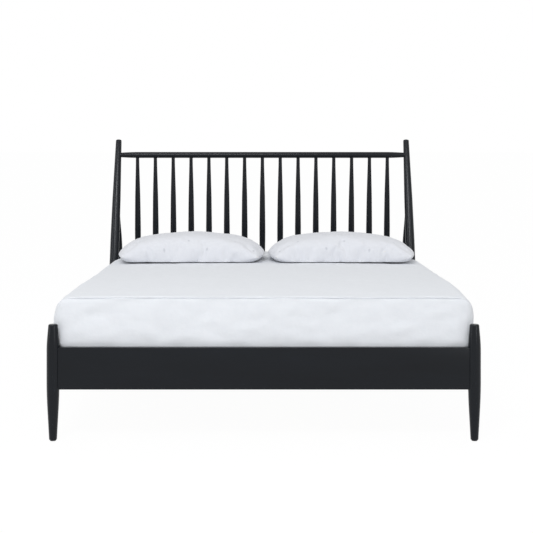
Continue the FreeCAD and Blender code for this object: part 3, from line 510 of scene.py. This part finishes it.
def makeSpindle(number, footY, lean):
    x = (number - (spindle["count"] - 1) / 2) * spindle["pitch"]
    bm = turnedShape([
        (0, spindle["start"], 0), (spindle["footRadius"], spindle["start"], 0),
        (spindle["footRadius"], spindle["footNeck"], spindle["neckEase"]),
        (spindle["radius"], spindle["bellyStart"], spindle["bellyEase"]),
        (spindle["radius"], spindle["bellyEnd"], spindle["bellyEase"]),
        (spindle["topRadius"], spindle["topNeck"], spindle["neckEase"]),
        (spindle["topRadius"], spindle["end"], 0), (0, spindle["end"], 0),
    ], spindle["steps"])
    bm.transform(leaning(x, footY, spindle["headRailMiddle"], lean))
    node = f"spindle_{number + 1:02d}"
    finishPiece(bm, f"turnedSpindle_{number + 1:02d}", paintZ, "frame", node)


for side, sign in sides.items():
    legX = sign * bed["legAcross"]
    makeFootLeg(side, legX)
    makePost(side, legX)
    makeRearLeg(side, legX)
makeCrestRail()
spindleFootY = bed["rearFootY"] - spindle["headRailMiddle"] * bed["rearLean"]
spindleLean = (crestY - spindleFootY) / (crest["height"] - spindle["headRailMiddle"])
for number in range(spindle["count"]):
    makeSpindle(number, spindleFootY, spindleLean)
print("turned pieces made")


# boards

board = {"edge": 3, "thinEdge": 2, "edgeSegments": 3}


def finishBoard(bm, node, material, edge):
    easeEdges(bm, bm.edges[:], edge, board["edgeSegments"])
    finishPiece(bm, f"board_{node}", material, "frame", node)


def plainBoard(node, material, edge):
    finishBoard(boxShape(*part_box(node)), node, material, edge)


def makeSideRail(side):
    # its head end is cut to the post's slope
    node = f"side_rail_{side}"
    low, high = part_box(node)
    middle = (low + high) / 2
    bm = boxShape(low, high)
    for vert in bm.verts:
        if vert.co.y > middle.y and vert.co.z < middle.z:
            vert.co.y -= bed["postLean"] * (high.z - low.z)
    finishBoard(bm, node, paintY, board["edge"])


def makeEndStretcher(side):
    # one end is cut to the post's slope, the other to the rear leg's
    node = f"end_stretcher_{side}"
    low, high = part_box(node)
    middle = (low + high) / 2
    bm = boxShape(low, high)
    for vert in bm.verts:
        if vert.co.z > middle.z:
            lean = bed["postLean"] if vert.co.y < middle.y else -bed["rearLean"]
            vert.co.y += lean * (high.z - low.z)
    finishBoard(bm, node, paintY, board["edge"])


slat = {"count": 14, "width": 70, "edge": 3}


def makeSlats():
    # the slats are one node, so their boards are gathered in one mesh
    low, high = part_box("slats")
    width = slat["width"] * mm
    step = (high.y - low.y - width) / (slat["count"] - 1)
    gathered = bmesh.new()
    for number in range(slat["count"]):
        front = low.y + step * number
        bm = boxShape((low.x, front, low.z), (high.x, front + width, high.z))
        easeEdges(bm, bm.edges[:], slat["edge"], board["edgeSegments"])
        plank = meshFrom(bm, "plank")
        gathered.from_mesh(plank)
        bpy.data.meshes.remove(plank)
    finishPiece(gathered, "slatBoards", pineX, "frame", "slats")


plainBoard("foot_rail", paintX, board["edge"])
plainBoard("head_rail", paintX, board["edge"])
for side in sides:
    makeSideRail(side)
    makeEndStretcher(side)
    plainBoard(f"side_ledger_{side}", pineY, board["thinEdge"])
    plainBoard(f"head_ledger_{side}", pineY, board["thinEdge"])
plainBoard("centre_beam", pineY, board["edge"])
makeSlats()
print("boards made")


# mattress and fitted sheet

bedding = {
    "top": 553, "bottom": 301.3, "front": -1059.5, "rear": 972.5,
    "across": 809.5, "waist": 771.5, "narrow": 781,  # half widths: free, between the posts, low down
    "waistStart": 465, "waistEnd": 675, "railTop": 355, "railRoom": 6, "swell": 10,
    "bottomRound": 22, "cornerRound": 48, "snugCorner": 9,
    "leftEdge": (55, 100), "rightEdge": (50, 70), "endEdge": (9, 15),  # top edges: in and down
    "frontEdgeMore": (7, 15), "frontPart": -0.5,  # the side edges are rounder towards the foot
    "cornerEase": 0.8,  # how much the plan's corners tighten with the top edge
    "crownAcross": 0.013, "crownAlong": 0.006, "flatAcross": 240, "flatAlong": 115,
    "leftDrawn": 13, "rightSlack": 11,  # the sheet pulls in on the left and bulges on the right
    "rightBulge": 13, "rightBulgeAt": -600, "rightBulgeLength": 330,
    "leftBulge": 2.5, "leftBulgeAt": -860, "leftBulgeLength": 480,
    "topRings": 0.1, "bottomRings": -0.65,  # the block's rows above and below these are rounded
    "snugStart": 0.1, "snugEnd": 0.2, "crownStart": 0.4,  # shares of its height
    "ticking": 11.5,  # how far in the mattress lies under its sheet
    "tickingCells": (48, 60, 16), "smoothAngle": 60,
}
speck = 1e-6  # mm; a shorter length is a rounding error
parallel = 0.99  # cosine from which an edge counts as running along an axis


def smoothStep(low, high, value):
    share = min(1, max(0, (value - low) / (high - low)))
    return share * share * (3 - 2 * share)


def ridge(offset, width):
    return math.exp(-(offset / width) ** 2)


def uneven(place, size, start=0):
    # a smooth random height from -1 to 1, with bumps of about this size each way
    x, y, z = (part / length for part, length in zip(place, size))
    return noise.noise(Vector((x, y, z + start)))


def sideEdge(across, along):
    # how far in and down the top edge at the side is rounded
    nearFoot = 1 - smoothStep(-1, bedding["frontPart"], along)
    plain = bedding["leftEdge"] if across < 0 else bedding["rightEdge"]
    return [size + more * nearFoot for size, more in zip(plain, bedding["frontEdgeMore"])]


def roundCorner(x, y, halfX, halfY, corner):
    # moves a point of a rectangle to one with round corners, and says which way is out
    coreX = min(max(x, corner - halfX), halfX - corner)
    coreY = min(max(y, corner - halfY), halfY - corner)
    out = Vector((x - coreX, y - coreY))
    away = out.normalized() if out.length > speck else Vector((0, 0))
    reach = max(abs(out.x), abs(out.y))
    return coreX + away.x * reach, coreY + away.y * reach, away


def crownAt(x, y):
    # the top falls away from its flat middle
    return min(
        0,
        -bedding["crownAcross"] * max(0, abs(x) - bedding["flatAcross"]),
        -bedding["crownAlong"] * max(0, abs(y) - bedding["flatAlong"]),
    )


def drawnAcross(x, y, z, across):
    # narrower between the posts and behind the rails, drawn or slack in the free part
    draw = smoothStep(bedding["waistStart"], bedding["waistEnd"], y)
    width = 1 - (1 - bedding["waist"] / bedding["across"]) * draw
    railTop = bedding["railTop"]
    tuck = 1 - smoothStep(railTop - bedding["railRoom"], railTop + bedding["swell"], z)
    width = min(width, 1 - (1 - bedding["narrow"] / bedding["across"]) * tuck)
    x *= width
    loose = smoothStep(bedding["front"], 0, y) * (1 - draw)
    onLeft, onRight = max(0, -across), max(0, across)
    x += loose * (bedding["leftDrawn"] * onLeft + bedding["rightSlack"] * onRight)
    for bulge, share in (("rightBulge", onRight), ("leftBulge", -onLeft)):
        swelling = bedding[bulge] * ridge(y - bedding[f"{bulge}At"], bedding[f"{bulge}Length"])
        x += swelling * share * (1 - tuck)
    return x


def beddingPoint(place, inset, relief):
    # moves a point of a plain block, from -1 to 1 each way, to the made-up bed's surface
    across, along, up = place
    top, bottom = bedding["top"] - inset, bedding["bottom"] + inset
    topRings, bottomRings = bedding["topRings"], bedding["bottomRings"]
    turn = max(0, (up - topRings) / (1 - topRings)) * math.pi / 2
    roll = max(0, (bottomRings - up) / (1 + bottomRings)) * math.pi / 2
    climb = (up - bottomRings) / (topRings - bottomRings)

    sideIn, sideDown = sideEdge(across, along)
    endIn, endDown = bedding["endEdge"]
    low = bedding["bottomRound"] * (1 - math.cos(roll))
    halfX = bedding["across"] - inset - sideIn * (1 - math.cos(turn)) - low
    halfLength = (bedding["rear"] - bedding["front"]) / 2
    halfY = halfLength - inset - endIn * (1 - math.cos(turn)) - low
    snug = 1 - smoothStep(bedding["snugStart"], bedding["snugEnd"], climb)  # between the legs
    corner = bedding["cornerRound"] - bedding["cornerEase"] * endIn * (1 - math.cos(turn))
    corner += (bedding["snugCorner"] - corner) * snug
    x, y, away = roundCorner(across * halfX, along * halfY, halfX, halfY, corner)

    drop = endDown + (sideDown - endDown) * away.x ** 2
    lowEdge, highEdge = bottom + bedding["bottomRound"], top - drop
    if turn > 0:
        z = top - drop * (1 - math.sin(turn))
    elif roll > 0:
        z = lowEdge - bedding["bottomRound"] * math.sin(roll)
    else:
        z = lowEdge + (highEdge - lowEdge) * climb
    above = smoothStep(bedding["crownStart"], 1, (z - bottom) / (top - bottom))
    z += crownAt(x, y) * above
    y += (bedding["front"] + bedding["rear"]) / 2
    x = drawnAcross(x, y, z, across)

    if roll > 0:
        normal = Vector((away.x * math.cos(roll), away.y * math.cos(roll), -math.sin(roll)))
    else:
        normal = Vector((away.x * math.cos(turn), away.y * math.cos(turn), math.sin(turn)))
    point = Vector((x, y, z))
    if relief:
        point += normal * relief(x, y, z, normal)
    return point * mm


def beddingBlock(inset, relief, counts):
    # a block with this many cells each way, shaped as the made-up bed
    bm = bmesh.new()
    bmesh.ops.create_cube(bm, size=2)
    for axis, count in enumerate(counts):
        runs = [
            edge for edge in bm.edges
            if abs((edge.verts[0].co - edge.verts[1].co).normalized()[axis]) > parallel
        ]
        bmesh.ops.subdivide_edges(bm, edges=runs, cuts=count - 1, use_grid_fill=True)
    for vert in bm.verts:
        vert.co = beddingPoint(vert.co, inset, relief)
    return bm


def clothMap(bm):
    # lays the piece's own cloth map, in metres, by the way each face looks
    layer = bm.loops.layers.uv.new("cloth")
    bm.normal_update()
    for face in bm.faces:
        normal = [abs(part) for part in face.normal]
        axis = normal.index(max(normal))
        for loop in face.loops:
            x, y, z = loop.vert.co
            loop[layer].uv = ((y, z), (x, z), (x, y))[axis]


def makeMattress():
    bm = beddingBlock(bedding["ticking"], None, bedding["tickingCells"])
    clothMap(bm)
    mattress = finishPiece(
        bm, "mattressTicking", ticking, "mattress", "mattress", bedding["smoothAngle"],
    )


sheetCut = {"thickness": 0.8, "hem": 80, "hemLevel": 8, "cells": (136, 96, 36)}

sheetCreases = {
    "lie": -4, "deepest": -10.5,  # mm in from the block; deeper and the mattress would show
    "broadSize": (200, 230, 110), "broadDepth": 2.4,
    "smallSize": (60, 80, 50), "smallStart": 7, "smallDepth": 1.8, "smallMoreAtFoot": 1,
    "dragSize": (85, 42, 30), "dragStart": 3, "dragDepth": 1.3, "dragMoreAtFoot": 3,
    "dragSlope": 1.6, "dragFall": 0.25,
    "weltZ": 540, "weltWidth": 3, "weltDepth": 6.5,  # the mattress's taped edge under the sheet
    "weltWander": 2.4, "weltWanderSize": (170, 1, 1), "weltRow": 0.3,
    "pleatX": 762, "pleatWidth": 11, "pleatDepth": 2.6,  # the sewn corner on the right
    "pleatWander": 8, "pleatWanderSize": (60, 1, 1), "pleatStart": 360, "pleatEnd": 420,
    "tuckZ": 352, "tuckWidth": 8, "tuckDepth": 1.5,  # where the sheet goes down behind the rail
    "tuckLeast": 0.6, "tuckVaries": 0.8, "tuckSize": (55, 1, 1), "tuckRow": 2.1,
}


def footCreases(x, z):
    # depth of the creases that only the end at the foot has
    crease = sheetCreases
    wander = crease["weltWander"] * uneven((x, crease["weltRow"], 0), crease["weltWanderSize"])
    welt = crease["weltDepth"] * ridge(z - crease["weltZ"] - wander, crease["weltWidth"])
    sway = crease["pleatWander"] * uneven((z, 0, 0), crease["pleatWanderSize"])
    pleat = crease["pleatDepth"] * ridge(x - crease["pleatX"] - sway, crease["pleatWidth"])
    pleat *= smoothStep(crease["pleatStart"], crease["pleatEnd"], z)
    wave = uneven((x, crease["tuckRow"], 0), crease["tuckSize"])
    wave = crease["tuckLeast"] + crease["tuckVaries"] * wave
    tuck = crease["tuckDepth"] * wave * ridge(z - crease["tuckZ"], crease["tuckWidth"])
    return welt + pleat + tuck


def sheetRelief(x, y, z, normal):
    # soft unevenness of a stretched sheet, in mm, inwards
    crease = sheetCreases
    facing = max(0, -normal.y)  # 1 at the end that looks to the foot
    broad = uneven((x, y, z), crease["broadSize"])
    small = uneven((x, y, z), crease["smallSize"], crease["smallStart"])
    slope = (x + z * crease["dragSlope"], y, z - x * crease["dragFall"])
    drag = uneven(slope, crease["dragSize"], crease["dragStart"])
    depth = crease["lie"] + broad * crease["broadDepth"]
    depth += small * (crease["smallDepth"] + crease["smallMoreAtFoot"] * facing)
    depth += drag * (crease["dragDepth"] + crease["dragMoreAtFoot"] * facing)
    return max(depth - facing * footCreases(x, z), crease["deepest"])


def openUnderside(bm):
    # a fitted sheet turns under by its hem and leaves the rest of the underside bare
    hem = sheetCut["hem"]
    hemTop = (bedding["bottom"] + sheetCut["hemLevel"]) * mm
    bare = []
    for face in bm.faces:
        x, y, z = face.calc_center_median()
        within = abs(x) < (bedding["waist"] - hem) * mm
        within = within and (bedding["front"] + hem) * mm < y < (bedding["rear"] - hem) * mm
        if within and z < hemTop:
            bare.append(face)
    bmesh.ops.delete(bm, geom=bare, context="FACES")


def makeSheet():
    bm = beddingBlock(0, sheetRelief, sheetCut["cells"])
    openUnderside(bm)
    clothMap(bm)
    fittedSheet = finishPiece(
        bm, "fittedSheet", sheetCotton, "mattress", "fitted_sheet",
        bedding["smoothAngle"],
    )
    thickness = fittedSheet.modifiers.new("thickness", "SOLIDIFY")
    thickness.thickness = sheetCut["thickness"] * mm
    thickness.offset = -1


makeMattress()
makeSheet()
print("mattress and sheet made")


# pillows and cases

pillow = {
    # the bag as it is sewn
    "length": 780, "depth": 536, "cells": (72, 50), "rimGap": 0.2,
    "bulge": 50, "endPower": 3.6, "endFullness": 0.68, "sidePower": 2.4, "sideFullness": 0.62,
    "cornerDraw": 0.36, "lumpHeight": 2.5, "lumpsPerMetre": 9, "lumpSeed": 3.7,
    "blowFrames": 10,
    # the pillow as it lies on the bed
    "leftMiddle": -359, "rightMiddle": 397, "frontY": 215.5, "rearY": 725.5,
    "base": 552.5, "rise": 131, "boxHalf": 373, "caseGap": 3, "smoothAngle": 80,
    "seam": 16, "tipLift": 12, "tipPower": 4,  # the seam's height, and how the ends lift
    "fullness": 0.62, "endTaper": 5, "topRoom": 3,
    "settle": 8, "endSettle": 5.7,  # how soon the underside lies flat, in from the seam
}

pillowCotton = {  # how the sewn bag behaves while it is blown up
    "quality": 6, "mass": 0.25, "tension_stiffness": 40, "compression_stiffness": 40,
    "shear_stiffness": 12, "bending_stiffness": 0.4,
    "use_pressure": True, "uniform_pressure_force": 4,
    "shrink_min": -0.02,  # below 0 the cloth gives a little
}

caseFolds = {
    "broadSize": (85, 55, 1), "broadHeight": 2.4, "smallSize": (32, 26, 1), "smallHeight": 1.3,
    "height": 6, "reach": 105, "count": 9,  # the rays out of each corner
    "start": 0.7,  # share of their reach at which they are highest
    "bend": 2.5, "bendSize": (55, 1, 1),
    "pucker": 4.2, "puckerIn": 14, "puckerReach": 45, "puckerSize": (27, 1, 60),
    "puckerSlope": 0.9,
    "flatEdge": -2, "fullEdge": 22,  # mm in from the seam between which the folds grow
    "fade": 4, "smallStart": 5, "seed": 4.1,
}


def pillowFolds(x, y, seed):
    # height in mm of the case's folds: rays from its corners, puckers along its seams
    height = caseFolds["broadHeight"] * uneven((x, y, seed), caseFolds["broadSize"])
    small = uneven((x, y, seed), caseFolds["smallSize"], caseFolds["smallStart"])
    height += caseFolds["smallHeight"] * small
    awayX = pillow["boxHalf"] - abs(x)
    awayY = (pillow["rearY"] - pillow["frontY"]) / 2 - abs(y)
    reach = math.hypot(awayX, awayY)
    corner = seed + math.copysign(2, x) + math.copysign(1, y)  # another number for each corner
    ray = math.atan2(awayY, awayX) * caseFolds["count"]
    ray += caseFolds["bend"] * uneven((reach, corner, 0), caseFolds["bendSize"])
    fromStart = reach - caseFolds["start"] * caseFolds["reach"]
    height += caseFolds["height"] * math.sin(ray) * ridge(fromStart, caseFolds["reach"])
    along = x if awayY < awayX else y
    edge = min(awayX, awayY)
    slope = (along + edge * caseFolds["puckerSlope"], corner, edge)
    gather = caseFolds["pucker"] * uneven(slope, caseFolds["puckerSize"])
    height += gather * ridge(edge - caseFolds["puckerIn"], caseFolds["puckerReach"])
    return height * smoothStep(caseFolds["flatEdge"], caseFolds["fullEdge"], edge)


def flatBag(seed):
    # two layers of cloth, a little plumped, joined along their rim
    bm = bmesh.new()
    columns, rows = pillow["cells"]
    bmesh.ops.create_grid(bm, x_segments=columns, y_segments=rows, size=0.5)
    halfX, halfY = pillow["length"] * mm / 2, pillow["depth"] * mm / 2
    bmesh.ops.scale(bm, vec=(halfX * 2, halfY * 2, 1), verts=bm.verts)
    layer = bm.loops.layers.uv.new("cloth")
    for face in bm.faces:
        for loop in face.loops:
            loop[layer].uv = loop.vert.co.xy
    lower = bmesh.ops.duplicate(bm, geom=bm.verts[:] + bm.edges[:] + bm.faces[:])["geom"]
    lowerFaces = [part for part in lower if isinstance(part, bmesh.types.BMFace)]
    lowerVerts = {part for part in lower if isinstance(part, bmesh.types.BMVert)}
    bmesh.ops.reverse_faces(bm, faces=lowerFaces)
    for vert in bm.verts:
        endwards, sidewards = vert.co.x / halfX, vert.co.y / halfY
        bulge = max(0, 1 - abs(endwards) ** pillow["endPower"]) ** pillow["endFullness"]
        bulge *= max(0, 1 - abs(sidewards) ** pillow["sidePower"]) ** pillow["sideFullness"]
        vert.co.x *= math.sqrt(1 - sidewards * sidewards * pillow["cornerDraw"] / 2)
        vert.co.y *= math.sqrt(1 - endwards * endwards * pillow["cornerDraw"] / 2)
        vert.co.z = bulge * pillow["bulge"] * mm * (-1 if vert in lowerVerts else 1)
        lumps = pillow["lumpsPerMetre"]
        lump = noise.noise(Vector((vert.co.x * lumps, vert.co.y * lumps, seed)))
        vert.co.z += pillow["lumpHeight"] * mm * lump * bulge
    for vert in bm.verts:
        if vert.is_boundary:
            vert.co.z = 0
    bmesh.ops.remove_doubles(bm, verts=bm.verts, dist=pillow["rimGap"] * mm)
    return bm


def blownUp(bm, name):
    bag = addToScene(name, meshFrom(bm, name))
    cloth = bag.modifiers.new("cloth", "CLOTH")
    for setting, value in pillowCotton.items():
        setattr(cloth.settings, setting, value)
    cloth.settings.effector_weights.gravity = 0
    cloth.point_cache.frame_start = 1
    cloth.point_cache.frame_end = pillow["blowFrames"]
    for step in range(1, pillow["blowFrames"] + 1):
        bpy.context.scene.frame_set(step)
    graph = bpy.context.evaluated_depsgraph_get()
    settled = bpy.data.meshes.new_from_object(bag.evaluated_get(graph))
    bpy.data.objects.remove(bag)
    bpy.context.scene.frame_set(1)
    blown = bmesh.new()
    blown.from_mesh(settled)
    return blown


def fitPillow(bm, middle, outward, inset):
    # seats the blown-up bag on the sheet, in the space that its solid holds
    high = max(vert.co.z for vert in bm.verts)
    low = min(vert.co.z for vert in bm.verts)
    wide = max(abs(vert.co.x) for vert in bm.verts)
    deep = max(abs(vert.co.y) for vert in bm.verts)
    halfDepth = (pillow["rearY"] - pillow["frontY"]) / 2 - inset
    middleY = (pillow["rearY"] + pillow["frontY"]) / 2
    for vert in bm.verts:
        x, y, z = vert.co
        x = x / wide * (pillow["boxHalf"] - inset)
        y = y / deep * halfDepth
        seam = pillow["seam"] + pillow["tipLift"] * (x / pillow["boxHalf"]) ** pillow["tipPower"]
        if z > 0:
            fold = pillowFolds(x, y, outward * caseFolds["seed"])
            fold *= min(1, z / high * caseFolds["fade"])
            pointed = (abs(x) / pillow["boxHalf"]) ** pillow["endTaper"]
            power = pillow["fullness"] + (1 - pillow["fullness"]) * pointed
            rise = pillow["rise"] - pillow["topRoom"] - seam - inset
            z = seam + (z / high) ** power * rise + fold
        else:
            settle = pillow["settle"] - pillow["endSettle"] * (x / pillow["boxHalf"]) ** 2
            z = seam * (1 - min(1, z / low * settle)) + inset
        vert.co = Vector((middle + x * outward, middleY + y, pillow["base"] + z)) * mm
    if outward < 0:
        bmesh.ops.reverse_faces(bm, faces=bm.faces[:])


def makePillow(side, outward):
    middle = pillow[f"{side}Middle"]
    body = f"pillow_{side}"
    bm = blownUp(flatBag(outward * pillow["lumpSeed"]), f"bag_{side}")
    inner = bm.copy()
    fitPillow(bm, middle, outward, 0)
    case = finishPiece(
        bm, f"case_{side}", caseCotton, body, f"pillowcase_{side}",
        pillow["smoothAngle"],
    )
    smooth = case.modifiers.new("smooth", "SUBSURF")
    smooth.levels = smooth.render_levels = 1
    fitPillow(inner, middle, outward, pillow["caseGap"])
    filling = finishPiece(
        inner, f"filling_{side}", ticking, body, f"pillow_{side}",
        pillow["smoothAngle"],
    )


for side, outward in sides.items():
    makePillow(side, outward)
print("pillows made")


# small pieces that keep their own shape

for node, material in (
    ("centre_leg", pineZ), ("leveller_insert", zinc), ("leveller_foot", zinc),
    ("leg_dowels", pineZ), ("glides", polythene), ("slat_straps", webbing),
    ("rail_hooks", zinc), ("rail_hook_pins", zinc), ("beam_hangers", zinc),
):
    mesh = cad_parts[node].data
    mesh.materials.clear()
    mesh.materials.append(material)
print("small pieces finished")


# floor, lights and camera

studio = {
    "worldLight": 0.65, "floorTone": "#f4f4f4", "floorReach": 2000,  # metres
    "floorGlow": 0.96,  # share of plain white in the floor as it is seen; the rest shows shadows
    "floorWhite": 1.01,
    "lampTint": "#f9fbff",
}


def whiteWhenSeen(tree, elsewhere):
    # 1 for rays from the camera, off a gloss or through glass, and else the given number
    path = addNode(tree, "ShaderNodeLightPath", {})
    seen = path.outputs["Is Camera Ray"]
    for ray in ("Is Glossy Ray", "Is Transmission Ray"):
        seen = addNode(tree, "ShaderNodeMath", {
            0: seen, 1: path.outputs[ray],
        }, operation="MAXIMUM").outputs["Value"]
    return addNode(tree, "ShaderNodeMapRange", {
        "Value": seen, "To Min": elsewhere, "To Max": 1,
    }).outputs["Result"]


def lightWorld():
    world = bpy.data.worlds.new("studioWorld")
    bpy.context.scene.world = world
    world.use_nodes = True
    tree = world.node_tree
    tree.nodes.clear()
    sky = addNode(tree, "ShaderNodeBackground", {
        "Color": linearColour(white), "Strength": whiteWhenSeen(tree, studio["worldLight"]),
    })
    addNode(tree, "ShaderNodeOutputWorld", {"Surface": sky.outputs["Background"]})


def paleStudioFloor():
    # matt pale card that takes the bed's shadow, mixed with plain white where it is looked at
    material, tree = emptyMaterial("paleStudioFloor")
    matt = addNode(tree, "ShaderNodeBsdfDiffuse", {"Color": linearColour(studio["floorTone"])})
    glow = addNode(tree, "ShaderNodeEmission", {
        "Color": linearColour(white), "Strength": studio["floorWhite"],
    })
    share = addNode(tree, "ShaderNodeMath", {
        0: whiteWhenSeen(tree, 0), 1: studio["floorGlow"],
    }, operation="MULTIPLY")
    lit = addNode(tree, "ShaderNodeMixShader", {
        0: share.outputs["Value"], 1: matt.outputs["BSDF"], 2: glow.outputs["Emission"],
    })
    addNode(tree, "ShaderNodeOutputMaterial", {"Surface": lit.outputs["Shader"]})
    return material


def layFloor():
    bm = bmesh.new()
    bmesh.ops.create_grid(bm, x_segments=1, y_segments=1, size=studio["floorReach"])
    mesh = meshFrom(bm, "studioFloor")
    mesh.materials.append(paleStudioFloor())
    addToScene("studioFloor", mesh)


lamps = {  # places and sizes in metres, power in watts
    "frontSoftBox": {
        "place": (-1.1, -5.7, 5.8), "target": (0, 0, 0.5), "size": (3, 1.6), "power": 248,
        "lightsCloth": True,
    },
    # the strips are only mirrored in the paint and cast no light on the cloth
    "leftStrip": {
        "place": (-8.2, -3.6, 4.6), "target": (0, 0, 0.8), "size": (0.9, 9), "power": 210,
        "lightsCloth": False,
    },
    "rightStrip": {
        "place": (4.8, -7.2, 4.6), "target": (0, 0, 0.8), "size": (0.9, 9), "power": 240,
        "lightsCloth": False,
    },
}


def hangLamp(name, place, target, size, power, lightsCloth):
    light = bpy.data.lights.new(name, "AREA")
    light.shape = "RECTANGLE"
    light.size, light.size_y = size
    light.energy = power
    light.color = linearColour(studio["lampTint"])[:3]
    lamp = addToScene(name, light)
    lamp.location = place
    lamp.rotation_euler = (Vector(target) - Vector(place)).to_track_quat("-Z", "Y").to_euler()
    lamp.visible_diffuse = lightsCloth


lens = {
    "focal": 79.4, "sensor": 36, "x": -16, "y": -5537.5, "height": 1099,
    "shiftX": 0.0131, "shiftY": -0.2167,
}


def placeCamera():
    data = bpy.data.cameras.new("photoCamera")
    data.lens = lens["focal"]
    data.sensor_width = lens["sensor"]
    data.shift_x = lens["shiftX"]
    data.shift_y = lens["shiftY"]
    camera = addToScene("photoCamera", data)
    camera.location = Vector((lens["x"], lens["y"], lens["height"])) * mm
    camera.rotation_euler = (math.radians(90), 0, 0)
    bpy.context.scene.camera = camera


lightWorld()
layFloor()
for name, lamp in lamps.items():
    hangLamp(name, **lamp)
placeCamera()
bpy.context.scene.view_settings.view_transform = "Standard"
print("studio set up")
